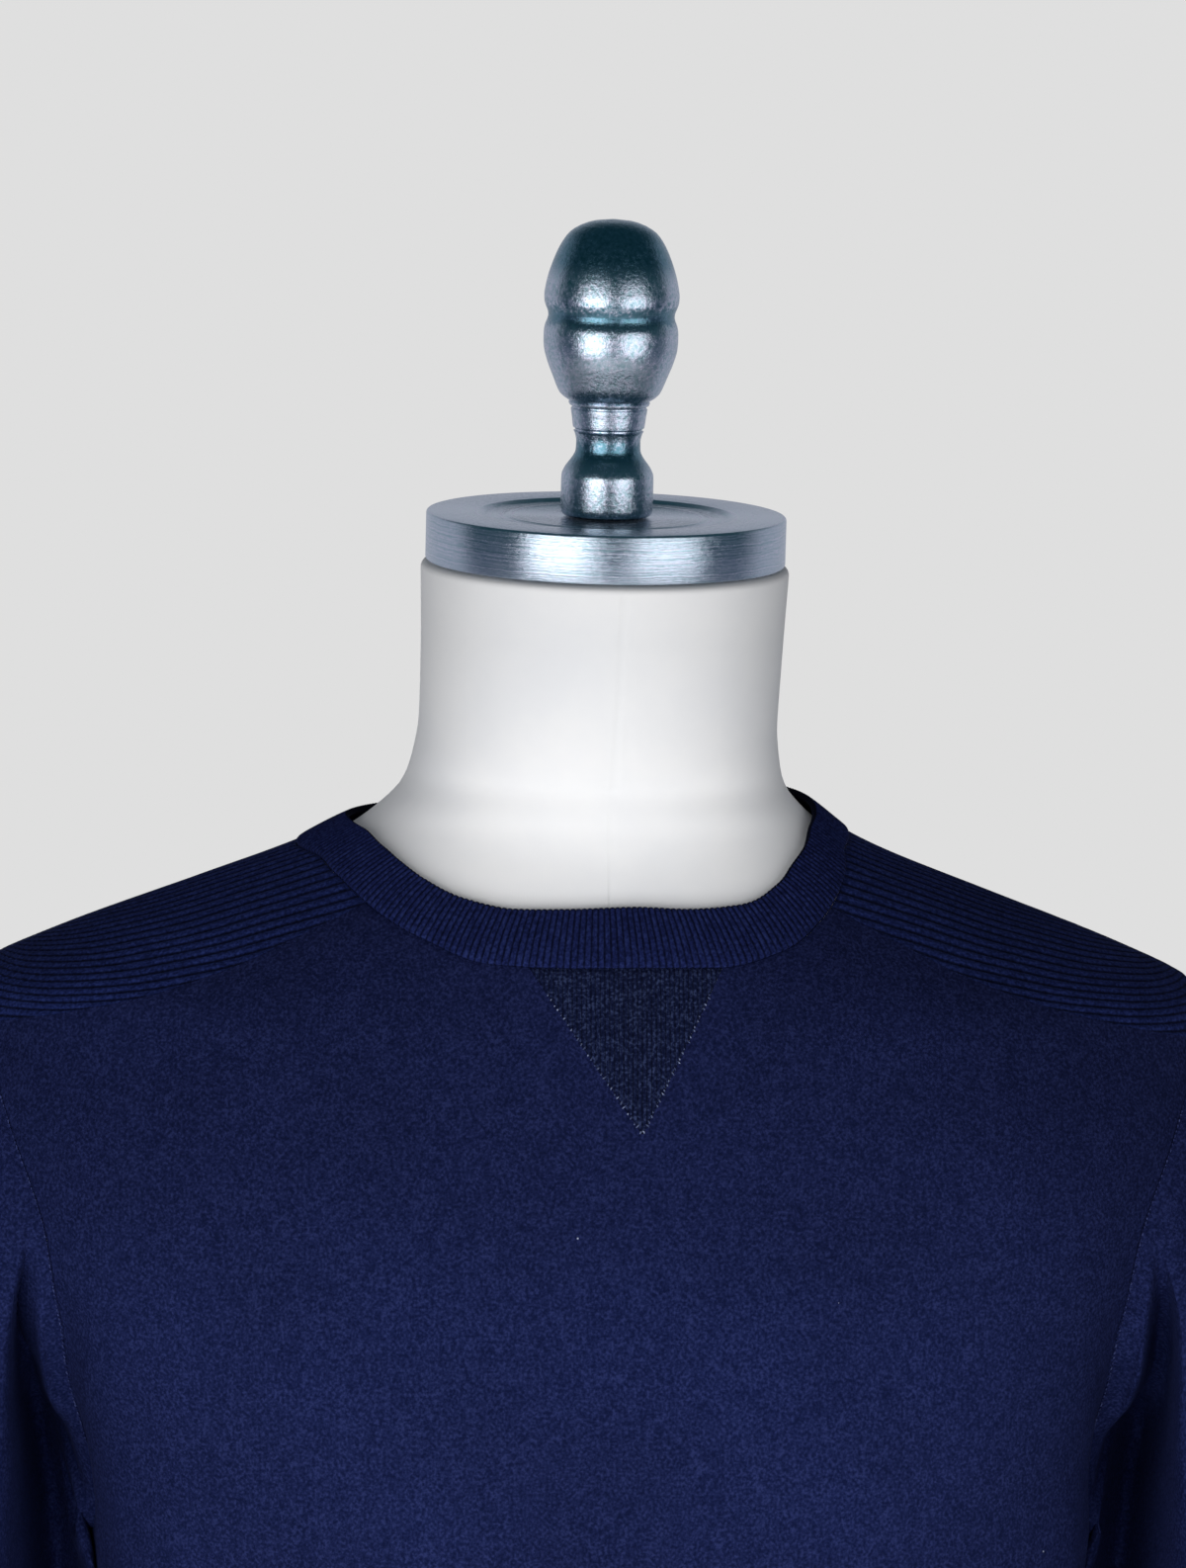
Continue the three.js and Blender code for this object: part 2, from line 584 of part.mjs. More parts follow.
// Dress form: the body surface moved inwards, closed at the bottom and at the neck's top.
function formBody() {
  const levels = [...steps(counts.formRows, formBottom, underarm), ...formLevels];
  const turns = steps(counts.formTurns, -180, 180).slice(0, -1);
  const rings = levels.map((level) => {
    const ease = column(formEase, "level", "ease", level);
    return turns.map((turn) => {
      const outwards = bodyNormal(turn, level);
      if (level > neckStart || level < underarm) outwards.setZ(0).normalize();
      return bodyPoint(turn, level).addScaledVector(outwards, -ease);
    });
  });
  const faces = [];
  const at = (i, j) => i * turns.length + (j % turns.length);
  for (let i = 0; i < levels.length - 1; i++)
    for (let j = 0; j < turns.length; j++)
      faces.push(at(i, j), at(i, j + 1), at(i + 1, j + 1), at(i, j), at(i + 1, j + 1), at(i + 1, j));
  const points = rings.flat();
  for (const [ring, row] of [[rings[0], 0], [rings.at(-1), levels.length - 1]]) {
    const centre = ring.reduce((sum, p) => sum.add(p), new THREE.Vector3()).divideScalar(ring.length);
    points.push(centre);
    for (let j = 0; j < turns.length; j++) {
      const pair = [at(row, j), at(row, j + 1)];
      faces.push(...(row ? pair : pair.reverse()), points.length - 1);
    }
  }
  return closedGeometry(points, faces);
}

// Solid of revolution from its half outline, upright.
function turned(outline, segments) {
  const points = outline.map(({ height, radius }) => new THREE.Vector2(radius, height));
  return new THREE.LatheGeometry(points, segments).rotateX(Math.PI / 2);
}

function neckCap() {
  const [bevel, recessRadius] = [0.8, 43];
  return turned(
    [
      { height: 0, radius: 0 },
      { height: 0, radius: capRadius - bevel },
      { height: bevel, radius: capRadius },
      { height: capThickness - bevel, radius: capRadius },
      { height: capThickness, radius: capRadius - bevel },
      { height: capThickness, radius: recessRadius },
      { height: capThickness - capRecess, radius: recessRadius - capRecess },
      { height: capThickness - capRecess, radius: 0 },
    ],
    counts.discTurns,
  );
}

function finial() {
  return turned([{ height: 0, radius: 0 }, ...finialOutline], counts.finialTurns);
}

function pole() {
  const bottom = baseThickness + hardGap;
  const top = shoulderHeight + formBottom - hardGap;
  const [flangeRadius, flangeThickness] = [38, 6];
  return turned(
    [
      { height: bottom, radius: 0 },
      { height: bottom, radius: poleRadius },
      { height: top - flangeThickness, radius: poleRadius },
      { height: top - flangeThickness, radius: flangeRadius },
      { height: top, radius: flangeRadius },
      { height: top, radius: 0 },
    ],
    counts.poleTurns,
  );
}

function base() {
  const bevel = 3;
  return turned(
    [
      { height: 0, radius: 0 },
      { height: 0, radius: baseRadius },
      { height: baseThickness - bevel, radius: baseRadius },
      { height: baseThickness, radius: baseRadius - bevel },
      { height: baseThickness, radius: 0 },
    ],
    counts.discTurns,
  );
}

// Joining and cutting of closed geometries
function solid(geometry) {
  const bare = new THREE.BufferGeometry().setAttribute("position", geometry.getAttribute("position"));
  if (geometry.index) bare.setIndex(geometry.index);
  const merged = mergeVertices(bare, 1e-3);
  return new wasm.Manifold(
    new wasm.Mesh({
      numProp: 3,
      vertProperties: merged.getAttribute("position").array,
      triVerts: new Uint32Array(merged.index.array),
    }),
  );
}

function geometryOf(manifold) {
  const mesh = manifold.getMesh();
  return new THREE.BufferGeometry()
    .setAttribute("position", new THREE.BufferAttribute(mesh.vertProperties, 3))
    .setIndex(new THREE.BufferAttribute(mesh.triVerts, 1));
}

// Upright cutter with the V's outline, grown by a margin on its two slanting sides.
function insertCutter(margin) {
  const { topLeft, topRight, topLevel, pointAcross, pointLevel } = insertOutline;
  const [above, forwards] = [40, 200]; // how far it passes the panel upwards and forwards
  const slopeLeft = (pointAcross - topLeft) / (topLevel - pointLevel);
  const slopeRight = (topRight - pointAcross) / (topLevel - pointLevel);
  const outline = new THREE.Shape([
    new THREE.Vector2(pointAcross, pointLevel - margin / slopeLeft),
    new THREE.Vector2(pointAcross + slopeRight * (above - pointLevel) + margin, above),
    new THREE.Vector2(pointAcross - slopeLeft * (above - pointLevel) - margin, above),
  ]);
  return new THREE.ExtrudeGeometry(outline, { depth: forwards, bevelEnabled: false })
    .rotateX(Math.PI / 2)
    .translate(0, 0, shoulderHeight);
}

const object = new THREE.Group();
const cloth = new THREE.Group();
const stand = new THREE.Group();
object.add(cloth, stand);

function add(group, name, geometry, material) {
  const mesh = new THREE.Mesh(geometry, material);
  mesh.name = name;
  group.add(mesh);
  return mesh;
}

const wholeFront = solid(bodyPanel(false));
add(
  cloth,
  "front",
  geometryOf(wholeFront.subtract(solid(insertCutter(seamPull)))),
  materials.jersey,
);
add(
  cloth,
  "neck_insert",
  geometryOf(wholeFront.intersect(solid(insertCutter(-seamPull)))),
  materials.rib,
);
add(cloth, "back", bodyPanel(true), materials.jersey);
add(cloth, "shoulder_panel_left", shoulderPanel(1), materials.rib);
add(cloth, "shoulder_panel_right", shoulderPanel(-1), materials.rib);
add(cloth, "neckband", neckband(), materials.rib);
add(cloth, "hem_rib_front", hemRib(false), materials.rib);
add(cloth, "hem_rib_back", hemRib(true), materials.rib);
for (const [name, side] of [["left", 1], ["right", -1]]) {
  add(cloth, `sleeve_${name}`, sleeve(side), materials.jersey);
  add(cloth, `cuff_${name}`, cuff(side), materials.rib);
}

add(stand, "form_body", formBody(), materials.canvas);
add(stand, "pole", pole(), materials.paintedSteel);
add(stand, "base", base(), materials.paintedSteel);

// The cap lies on the neck's tipped top, and the finial stands on the cap.
const neckAxis = new THREE.Group();
const topSection = bodySections.at(-1);
neckAxis.position.set(-sidewaysLean * topSection.lean, topSection.lean, shoulderHeight + capLevel);
neckAxis.rotation.x = radians(topSection.nod);
stand.add(neckAxis);
add(neckAxis, "neck_cap", neckCap(), materials.metal);
const handle = add(neckAxis, "finial", finial(), materials.metal);
handle.position.z = capThickness - capRecess + hardGap;

export default object;
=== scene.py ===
import math

import bpy
import numpy as np
from mathutils import Matrix, Vector


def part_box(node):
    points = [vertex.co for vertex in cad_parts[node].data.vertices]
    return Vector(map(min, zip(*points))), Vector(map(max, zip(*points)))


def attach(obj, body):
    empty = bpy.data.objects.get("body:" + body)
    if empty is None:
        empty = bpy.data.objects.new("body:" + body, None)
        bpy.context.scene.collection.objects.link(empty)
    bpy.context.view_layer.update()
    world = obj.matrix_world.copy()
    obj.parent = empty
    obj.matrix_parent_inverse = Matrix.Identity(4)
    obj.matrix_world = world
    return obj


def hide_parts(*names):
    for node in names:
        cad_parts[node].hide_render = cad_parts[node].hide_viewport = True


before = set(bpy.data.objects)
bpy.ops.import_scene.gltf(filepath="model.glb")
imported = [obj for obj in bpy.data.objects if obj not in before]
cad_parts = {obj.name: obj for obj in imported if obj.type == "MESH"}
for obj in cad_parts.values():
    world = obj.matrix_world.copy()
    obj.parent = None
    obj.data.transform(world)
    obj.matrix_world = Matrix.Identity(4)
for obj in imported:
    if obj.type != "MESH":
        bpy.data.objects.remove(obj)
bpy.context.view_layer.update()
bpy.ops.object.select_all(action="DESELECT")

mm = 0.001
pieces = {}

# Level 0 of every table is the neckband seam at the shoulder. The cuffs' lower edge places it.
cuffBottom = -682
shoulderHeight = round(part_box("cuff_left")[0].z / mm - cuffBottom)
print("level 0 lies", shoulderHeight, "mm above the floor")


# ---- camera, light and floor

camera = {"azimuth": -3.5, "above": 6.0, "roll": 1.25, "distance": 2400, "lens": 160.2,
          "aim": (0.5, 21)}  # the aim is measured from level 0, to the lens's right and upwards


def addCamera():
    turn = (Matrix.Rotation(math.radians(camera["azimuth"]), 3, "Z")
            @ Matrix.Rotation(math.radians(90 - camera["above"]), 3, "X")
            @ Matrix.Rotation(math.radians(camera["roll"]), 3, "Z"))
    right, up, back = (turn.col[i] for i in range(3))
    aim = Vector((0, 0, shoulderHeight)) + right * camera["aim"][0] + up * camera["aim"][1]
    place = (aim + back * camera["distance"]) * mm
    bpy.ops.object.camera_add(location=place, rotation=turn.to_euler())
    bpy.context.object.data.lens = camera["lens"]
    bpy.context.object.data.clip_end = 60
    bpy.context.scene.camera = bpy.context.object


# Two big soft boxes stand on both sides of the camera, with a narrow gap between them, and the metal
# shows them. The cloth is lit by two more in front of them, lower and nearer to the middle, and by a
# low one and a weak one above. Turn from straight ahead, distance and height of each centre, its two
# sides in metres, what height it points at, its watts, and whether it is for the metal.
softBoxes = {
    "leftBox": {"turn": -32, "away": 2.0, "height": 0.72, "size": (1.55, 1.38), "aim": 0.72, "watts": 18,
                "metal": True},
    "rightBox": {"turn": 35, "away": 2.0, "height": 0.72, "size": (1.55, 1.38), "aim": 0.72, "watts": 12,
                 "metal": True},
    "leftCloth": {"turn": -26, "away": 1.9, "height": 0.58, "size": (1.2, 1.2), "aim": 0.95, "watts": 18.5,
                  "metal": False},
    "rightCloth": {"turn": 23, "away": 1.9, "height": 0.58, "size": (1.2, 1.2), "aim": 0.95, "watts": 10.5,
                   "metal": False},
    "lowBox": {"turn": -6, "away": 1.25, "height": 0.12, "size": (0.9, 0.22), "aim": 0.6, "watts": 3,
               "metal": False},
    "topBox": {"turn": 0, "away": 0.9, "height": 2.0, "size": (1.2, 0.5), "aim": 1.0, "watts": 1,
               "metal": False},
}
backdropColour = "#DFDFDF"
# The fill only reaches matt things. Pairs are where a change starts and ends, in parts of a direction.
roomLight = {"above": "#34555F", "front": "#6E778B", "behind": "#C6CAD6", "strength": 0.8,
             "fillAbove": "#5C6066", "fillBelow": "#9FA3AB", "paperBack": (0.12, 0.42),
             "paperTop": (0.75, 0.25), "ground": (0.15, -0.3), "fill": (0.5, -0.5)}


def addLights():
    for name, box in softBoxes.items():
        turn = math.radians(box["turn"])
        place = Vector((math.sin(turn), -math.cos(turn), 0)) * box["away"] + Vector((0, 0, box["height"]))
        aim = (place - Vector((0, 0, box["aim"]))).to_track_quat("Z", "Y").to_euler()
        bpy.ops.object.light_add(type="AREA", location=place, rotation=aim)
        lamp = bpy.context.object
        lamp.name = name
        lamp.data.shape = "RECTANGLE"
        lamp.data.size, lamp.data.size_y = box["size"]
        lamp.data.energy = box["watts"]
        lamp.visible_camera = False
        lamp.visible_glossy, lamp.visible_diffuse = box["metal"], not box["metal"]


def linear(hexColour, alpha=1.0):
    # sRGB hex to the linear values that the shaders work in
    parts = [int(hexColour[i:i + 2], 16) / 255 for i in (1, 3, 5)]
    return [p / 12.92 if p <= 0.04045 else ((p + 0.055) / 1.055) ** 2.4 for p in parts] + [alpha]


def addNode(tree, kind, settings=None, **inputs):
    # settings are the node's own options, inputs are values or the sockets to link from
    node = tree.nodes.new(kind)
    for name, value in (settings or {}).items():
        setattr(node, name, value)
    for name, value in inputs.items():
        name = name.replace("_", " ")
        socket = node.inputs[int(name[1:])] if name[0] == "n" and name[1:].isdigit() else node.inputs[name]
        if isinstance(value, bpy.types.NodeSocket):
            tree.links.new(value, socket)
        else:
            socket.default_value = value
    return node


def fading(tree, value, span, first=0.0, last=1.0, kind="SMOOTHSTEP"):
    # Goes from first to last while the value crosses the span
    return addNode(tree, "ShaderNodeMapRange", {"interpolation_type": kind}, Value=value, From_Min=span[0],
                   From_Max=span[1], To_Min=first, To_Max=last).outputs["Result"]


def maths(tree, operation, first, second=0.0):
    return addNode(tree, "ShaderNodeMath", {"operation": operation}, n0=first, n1=second).outputs[0]


def mixed(tree, share, first, second):
    return addNode(tree, "ShaderNodeMix", {"data_type": "RGBA"}, n0=share, n6=first, n7=second).outputs[2]


def addRoom():
    # The room is dim above and greyer towards the floor, and pale paper behind it lights the metal's
    # edges. The lens sees a plain pale backdrop.
    world = bpy.data.worlds.new("studio")
    world.use_nodes = True
    bpy.context.scene.world = world
    tree = world.node_tree
    tree.nodes.clear()
    seen = addNode(tree, "ShaderNodeLightPath").outputs["Is Camera Ray"]
    way = addNode(tree, "ShaderNodeTexCoord").outputs["Generated"]
    parts = addNode(tree, "ShaderNodeSeparateXYZ", Vector=way)
    behind = fading(tree, parts.outputs["Y"], roomLight["paperBack"])
    low = fading(tree, parts.outputs["Z"], roomLight["paperTop"])
    paper = maths(tree, "MULTIPLY", behind, low)
    ground = fading(tree, parts.outputs["Z"], roomLight["ground"])
    front = mixed(tree, ground, linear(roomLight["above"]), linear(roomLight["front"]))
    tint = mixed(tree, paper, front, linear(roomLight["behind"]))
    matt = addNode(tree, "ShaderNodeLightPath").outputs["Is Diffuse Ray"]
    rise = fading(tree, parts.outputs["Z"], roomLight["fill"], kind="LINEAR")
    fill = mixed(tree, rise, linear(roomLight["fillAbove"]), linear(roomLight["fillBelow"]))
    lit = mixed(tree, matt, tint, fill)
    room = addNode(tree, "ShaderNodeBackground", Color=lit, Strength=roomLight["strength"])
    backdrop = addNode(tree, "ShaderNodeBackground", Color=linear(backdropColour))
    mix = addNode(tree, "ShaderNodeMixShader", n0=seen, n1=room.outputs[0], n2=backdrop.outputs[0])
    addNode(tree, "ShaderNodeOutputWorld", Surface=mix.outputs[0])


floorSizes = {"radius": 2.6, "fade": (1.1, 2.35), "colour": "#D9D9D8", "glow": 0.25, "glowColour": "#C6CAD6"}


def newMaterial(name):
    material = bpy.data.materials.new(name)
    material.use_nodes = True
    return material, material.node_tree, material.node_tree.nodes["Principled BSDF"]


def addFloor():
    # Pale painted floor that fades into the backdrop, so no edge shows
    bpy.ops.mesh.primitive_circle_add(vertices=96, radius=floorSizes["radius"], fill_type="NGON")
    floor = bpy.context.object
    floor.name = "floor"
    paint, tree, shader = newMaterial("paleFloorPaint")
    shader.inputs["Base Color"].default_value = linear(floorSizes["colour"])
    shader.inputs["Roughness"].default_value = 0.6
    shader.inputs["Emission Color"].default_value = linear(floorSizes["glowColour"])
    shader.inputs["Emission Strength"].default_value = floorSizes["glow"]
    place = addNode(tree, "ShaderNodeTexCoord").outputs["Object"]
    away = addNode(tree, "ShaderNodeVectorMath", {"operation": "LENGTH"}, n0=place)
    fade = fading(tree, away.outputs["Value"], floorSizes["fade"], 1.0, 0.0)
    tree.links.new(fade, shader.inputs["Alpha"])
    floor.data.materials.append(paint)


bpy.context.scene.view_settings.view_transform = "Standard"
addCamera()
addLights()
addRoom()
addFloor()
print("camera, lights and floor are in place")


# ---- finishes

# Fine merino jersey, knitted on a flat-bed machine and steamed: matt, with a soft nap that breaks up
# into a fine grain, and a little lint. Ribs and ridges are the same yarn, and the shade in their hollows is
# painted in.
# The real stitch is 0.7 mm wide, and the grain is drawn at 1 mm so that it shows.
# groove: the UV axis that the ribs are counted along, their pitch in mm, and how dark the painted shade in a
# hollow is
# the chest's painted shade: from which level to which one the colour darkens, and the share of it that is
# left
# fold: how many mm of cloth from the seam it turns over, past which painted shade darkens it. mottled: the
# share of broad specks
ridgePitch, ribPitch, linkPitch = 5.0, 2.1, 1.55
neckbandSizes = {"ribs": 250, "perRib": 7, "outside": 0.85, "thickness": 2.1, "crown": 0.7, "fan": 3.0,
                 "ribHeight": 0.6, "folds": 0.955, "turnedIn": 30}
yarns = {
    "finegaugeJersey": {"deep": "#0C1333", "base": "#161D43", "pale": "#232B56", "sheen": 0.03,
                        "paintedChestShade": (-165, -60, 0.81)},
    "ridgedJersey": {"deep": "#0B1437", "base": "#16204D", "pale": "#232F62", "sheen": 0.1,
                     "groove": ("Y", ridgePitch, 0.22)},
    "oneByOneRib": {"deep": "#0C1334", "base": "#161E49", "pale": "#212B58", "sheen": 0.05,
                    "groove": ("X", ribPitch, 0.35)},
    # the band's fold is tight, and the shade where it turns over is painted in, almost black
    "foldedNeckRib": {"deep": "#0C1334", "base": "#161E49", "pale": "#212B58", "sheen": 0.05,
                      "groove": ("X", ribPitch, 0.35), "fold": 24},
    "armThread": {"deep": "#161D42", "base": "#272F5A", "pale": "#454E7C", "sheen": 0.05},
    "linkingFuzz": {"deep": "#2A3150", "base": "#465070", "pale": "#8890AC", "sheen": 0.2},
    "linksStitch": {"deep": "#080E27", "base": "#121936", "pale": "#2E3859", "sheen": 0.06,
                    "groove": ("X", linkPitch, 0.5), "mottled": 0.2},
}
grain = {"fibres": 950, "mottle": 170, "cloud": 11, "mottled": 0.22, "low": 0.38, "high": 0.64,
         "lint": "#8C93AC", "nap": "#5A66A8"}
# Near centre front the neckband's ribs die out in a plain strip above the seam: how far to each side
# it fades, how far up, and how plain it gets
plainStrip = {"aside": (34, 56), "up": (2.5, 6.5), "most": 0.85, "above": 0.35}


def colourRamp(tree, value, *stops):
    ramp = addNode(tree, "ShaderNodeValToRGB", Fac=value)
    elements = ramp.color_ramp.elements
    (elements[0].position, first), (elements[1].position, last) = stops[0], stops[-1]
    elements[0].color, elements[1].color = linear(first), linear(last)
    for at, colour in stops[1:-1]:
        elements.new(at).color = linear(colour)
    return ramp.outputs["Color"]


def plainStripShare(tree, across, up):
    middle = neckbandSizes["ribs"] / 2 * ribPitch * mm
    aside = maths(tree, "ABSOLUTE", maths(tree, "SUBTRACT", across, middle))
    ahead = fading(tree, aside, [a * mm for a in plainStrip["aside"]], plainStrip["most"], 0.0)
    plain = fading(tree, up, [a * mm for a in plainStrip["up"]], 1.0, plainStrip["above"])
    return maths(tree, "MULTIPLY", ahead, plain)


def knitMaterial(name):
    yarn = yarns[name]
    material, tree, shader = newMaterial(name)
    place = addNode(tree, "ShaderNodeTexCoord").outputs["Object"]
    fibres = addNode(tree, "ShaderNodeTexNoise", Vector=place, Scale=grain["fibres"], Detail=2.0,
                     Roughness=0.6).outputs["Fac"]
    mottle = addNode(tree, "ShaderNodeTexNoise", Vector=place, Scale=grain["mottle"], Detail=5.0,
                     Roughness=0.7).outputs["Fac"]
    cloud = addNode(tree, "ShaderNodeTexNoise", Vector=place, Scale=grain["cloud"], Detail=2.0)
    fine = addNode(tree, "ShaderNodeMix", {"data_type": "FLOAT"}, n0=yarn.get("mottled", grain["mottled"]),
                   n2=fibres, n3=mottle)
    tone = colourRamp(tree, fine.outputs[0], (grain["low"], yarn["deep"]),
                      ((grain["low"] + grain["high"]) / 2, yarn["base"]), (grain["high"], yarn["pale"]))
    shade = fading(tree, cloud.outputs["Fac"], (0.3, 0.7), 0.86, 1.14, "LINEAR")
    if "groove" in yarn:
        axis, pitch, dark = yarn["groove"]
        cloth = addNode(tree, "ShaderNodeUVMap", {"uv_map": "UVMap"}).outputs["UV"]
        spot = addNode(tree, "ShaderNodeSeparateXYZ", Vector=cloth)
        beside = maths(tree, "PINGPONG", maths(tree, "DIVIDE", spot.outputs[axis], pitch * mm), 0.5)
        # painted shade: the hollows between ribs are drawn darker, and less so where the neckband's ribs die
        # out
        hollowShade = fading(tree, beside, (0.04, 0.26), dark, 1.0)
        if "fold" in yarn:
            strip = plainStripShare(tree, spot.outputs["X"], spot.outputs["Y"])
            hollowShade = addNode(tree, "ShaderNodeMix", {"data_type": "FLOAT"}, n0=strip, n2=hollowShade,
                             n3=0.85).outputs[0]
        shade = maths(tree, "MULTIPLY", shade, hollowShade)
    if "paintedChestShade" in yarn:
        # painted shade: the jersey is drawn darker over the upper chest, where the lamps light it less, by a
        # fitted amount
        low, high, deep = yarn["paintedChestShade"]
        up = addNode(tree, "ShaderNodeSeparateXYZ", Vector=place).outputs["Z"]
        chestShade = fading(tree, up, ((shoulderHeight + low) * mm, (shoulderHeight + high) * mm), 1.0, deep)
        shade = maths(tree, "MULTIPLY", shade, chestShade)
    if "fold" in yarn:
        # painted shade: past the fold the band is drawn almost black
        turned = fading(tree, spot.outputs["Y"], (yarn["fold"] * mm, (yarn["fold"] + 6) * mm), 1.0, 0.1,
                        "LINEAR")
        shade = maths(tree, "MULTIPLY", shade, turned)
    toned = addNode(tree, "ShaderNodeVectorMath", {"operation": "SCALE"}, n0=tone, Scale=shade)
    # a few specks of pale lint, less than a millimetre across
    specks = addNode(tree, "ShaderNodeTexVoronoi", Vector=place, Scale=34.0)
    lint = maths(tree, "LESS_THAN", specks.outputs["Distance"], 0.012)
    coloured = mixed(tree, lint, toned.outputs["Vector"], linear(grain["lint"]))
    bump = addNode(tree, "ShaderNodeBump", Strength=0.35, Distance=0.3 * mm, Height=fibres)
    tree.links.new(coloured, shader.inputs["Base Color"])
    tree.links.new(bump.outputs["Normal"], shader.inputs["Normal"])
    shader.inputs["Roughness"].default_value = 0.95
    shader.inputs["Specular IOR Level"].default_value = 0.06
    shader.inputs["Sheen Weight"].default_value = yarn["sheen"]
    shader.inputs["Sheen Roughness"].default_value = 0.5
    shader.inputs["Sheen Tint"].default_value = linear(grain["nap"])
    return material


finishes = {name: knitMaterial(name) for name in yarns}


canvasLook = {"thread": 0.9, "stained": "#E7E7E8", "clean": "#EFEEED", "paintedNeckShade": (5, 75)}


def bleachedCanvas():
    # Plain-woven cotton canvas glued over the form: off-white, matt, threads 0.9 mm apart
    material, tree, shader = newMaterial("bleachedCanvas")
    place = addNode(tree, "ShaderNodeTexCoord").outputs["Object"]
    cloth = addNode(tree, "ShaderNodeUVMap", {"uv_map": "UVMap"}).outputs["UV"]
    thread = canvasLook["thread"] * mm
    threads = addNode(tree, "ShaderNodeMapping", Vector=cloth, Scale=(1 / thread, 1 / thread, 1))
    weave = addNode(tree, "ShaderNodeTexChecker", Vector=threads.outputs["Vector"], Scale=1.0,
                    Color1=(0.35, 0.35, 0.35, 1), Color2=(0.65, 0.65, 0.65, 1))
    slub = addNode(tree, "ShaderNodeTexNoise", Vector=place, Scale=420.0, Detail=3.0)
    stain = addNode(tree, "ShaderNodeTexNoise", Vector=place, Scale=16.0, Detail=4.0, Roughness=0.6)
    tone = colourRamp(tree, stain.outputs["Fac"], (0.3, canvasLook["stained"]), (0.65, canvasLook["clean"]))
    # painted light and shade: the canvas is drawn lighter at the foot of the neck and darker towards its top
    up = addNode(tree, "ShaderNodeSeparateXYZ", Vector=place).outputs["Z"]
    clean = fading(tree, up, [(shoulderHeight + level) * mm for level in canvasLook["paintedNeckShade"]], 1.06, 0.88,
                   "LINEAR")
    paintedNeckShade = addNode(tree, "ShaderNodeVectorMath", {"operation": "SCALE"}, n0=tone, Scale=clean)
    height = maths(tree, "ADD", weave.outputs["Fac"], slub.outputs["Fac"])
    bump = addNode(tree, "ShaderNodeBump", Strength=0.12, Distance=0.2 * mm, Height=height)
    tree.links.new(paintedNeckShade.outputs["Vector"], shader.inputs["Base Color"])
    tree.links.new(bump.outputs["Normal"], shader.inputs["Normal"])
    shader.inputs["Roughness"].default_value = 0.8
    shader.inputs["Specular IOR Level"].default_value = 0.25
    shader.inputs["Sheen Weight"].default_value = 0.3
    return material


# How much of the surface is pits rather than brush lines, and where painted shade darkens the handle: the
# heights over the neck that the bands are shares of, and for each share whether it is painted darker there
steels = {
    "turnedSteel": {"pitted": 0.2},
    "pittedSteel": {"pitted": 0.85, "paintedShadeTint": "#8DB3BB", "from": 15.7, "to": 116.4,
                    "bands": ((0, 0), (0.21, 0), (0.26, 1), (0.3, 1), (0.35, 0), (0.705, 0), (0.722, 1),
                              (0.765, 1), (0.79, 0), (0.86, 0), (0.92, 1), (1, 1))},
}
steelLook = {"dark": "#8FAEB6", "bright": "#D2D3E4", "clean": "#FFFFFF", "lines": 1500.0, "pits": 700.0}


def turnedSteel(name, tilt):
    # Nickel-plated steel turned on a lathe and brushed: broken lines 0.7 mm apart catch the light, and
    # the handle has shallow pits about 1.5 mm across
    steel = steels[name]
    material, tree, shader = newMaterial(name)
    place = addNode(tree, "ShaderNodeTexCoord").outputs["Object"]
    axis = addNode(tree, "ShaderNodeMapping", {"vector_type": "TEXTURE"}, Vector=place,
                   Location=neckAxis["foot"], Rotation=(math.radians(tilt), 0, 0))
    parts = addNode(tree, "ShaderNodeSeparateXYZ", Vector=axis.outputs["Vector"])
    flat = addNode(tree, "ShaderNodeCombineXYZ", X=parts.outputs["X"], Y=parts.outputs["Y"])
    away = addNode(tree, "ShaderNodeVectorMath", {"operation": "LENGTH"}, n0=flat.outputs[0])
    # brush lines run round the axis, so they follow the height and the distance from the axis, and a
    # slow noise breaks them off
    turned = addNode(tree, "ShaderNodeCombineXYZ", X=away.outputs["Value"], Y=parts.outputs["Z"])
    drift = addNode(tree, "ShaderNodeTexNoise", Vector=place, Scale=90.0, Detail=2.0)
    broken = addNode(tree, "ShaderNodeVectorMath", {"operation": "MULTIPLY_ADD"}, n0=drift.outputs["Color"],
                     n1=(1.6 * mm, 1.6 * mm, 0), n2=turned.outputs[0])
    lines = addNode(tree, "ShaderNodeTexNoise", Vector=broken.outputs[0], Scale=steelLook["lines"],
                    Detail=3.0, Roughness=0.75)
    pits = addNode(tree, "ShaderNodeTexNoise", Vector=place, Scale=steelLook["pits"], Detail=4.0,
                   Roughness=0.7)
    worked = addNode(tree, "ShaderNodeMix", {"data_type": "FLOAT"}, n0=steel["pitted"],
                     n2=lines.outputs["Fac"], n3=pits.outputs["Fac"]).outputs[0]
    colour = colourRamp(tree, worked, (0.36, steelLook["dark"]), (0.62, steelLook["bright"]))
    if "paintedShadeTint" in steel:
        # painted shade: darker and greener above the foot, at the waist and near the top, where the room's
        # dark upper part is reflected
        high = fading(tree, parts.outputs["Z"], (steel["from"] * mm, steel["to"] * mm), kind="LINEAR")
        uneven = addNode(tree, "ShaderNodeMath", {"operation": "MULTIPLY_ADD"}, n0=pits.outputs["Fac"],
                         n1=0.12, n2=high)
        bands = colourRamp(tree, uneven.outputs[0],
                           *((at, steel["paintedShadeTint"] if inPaintedShade else steelLook["clean"])
                             for at, inPaintedShade in steel["bands"]))
        colour = addNode(tree, "ShaderNodeVectorMath", {"operation": "MULTIPLY"}, n0=colour,
                         n1=bands).outputs[0]
    dull = fading(tree, worked, (0.3, 0.7), 0.1, 0.32, "LINEAR")
    bump = addNode(tree, "ShaderNodeBump", Strength=0.5, Distance=0.4 * mm, Height=worked)
    tree.links.new(colour, shader.inputs["Base Color"])
    tree.links.new(dull, shader.inputs["Roughness"])
    tree.links.new(bump.outputs["Normal"], shader.inputs["Normal"])
    shader.inputs["Metallic"].default_value = 1.0
    return material


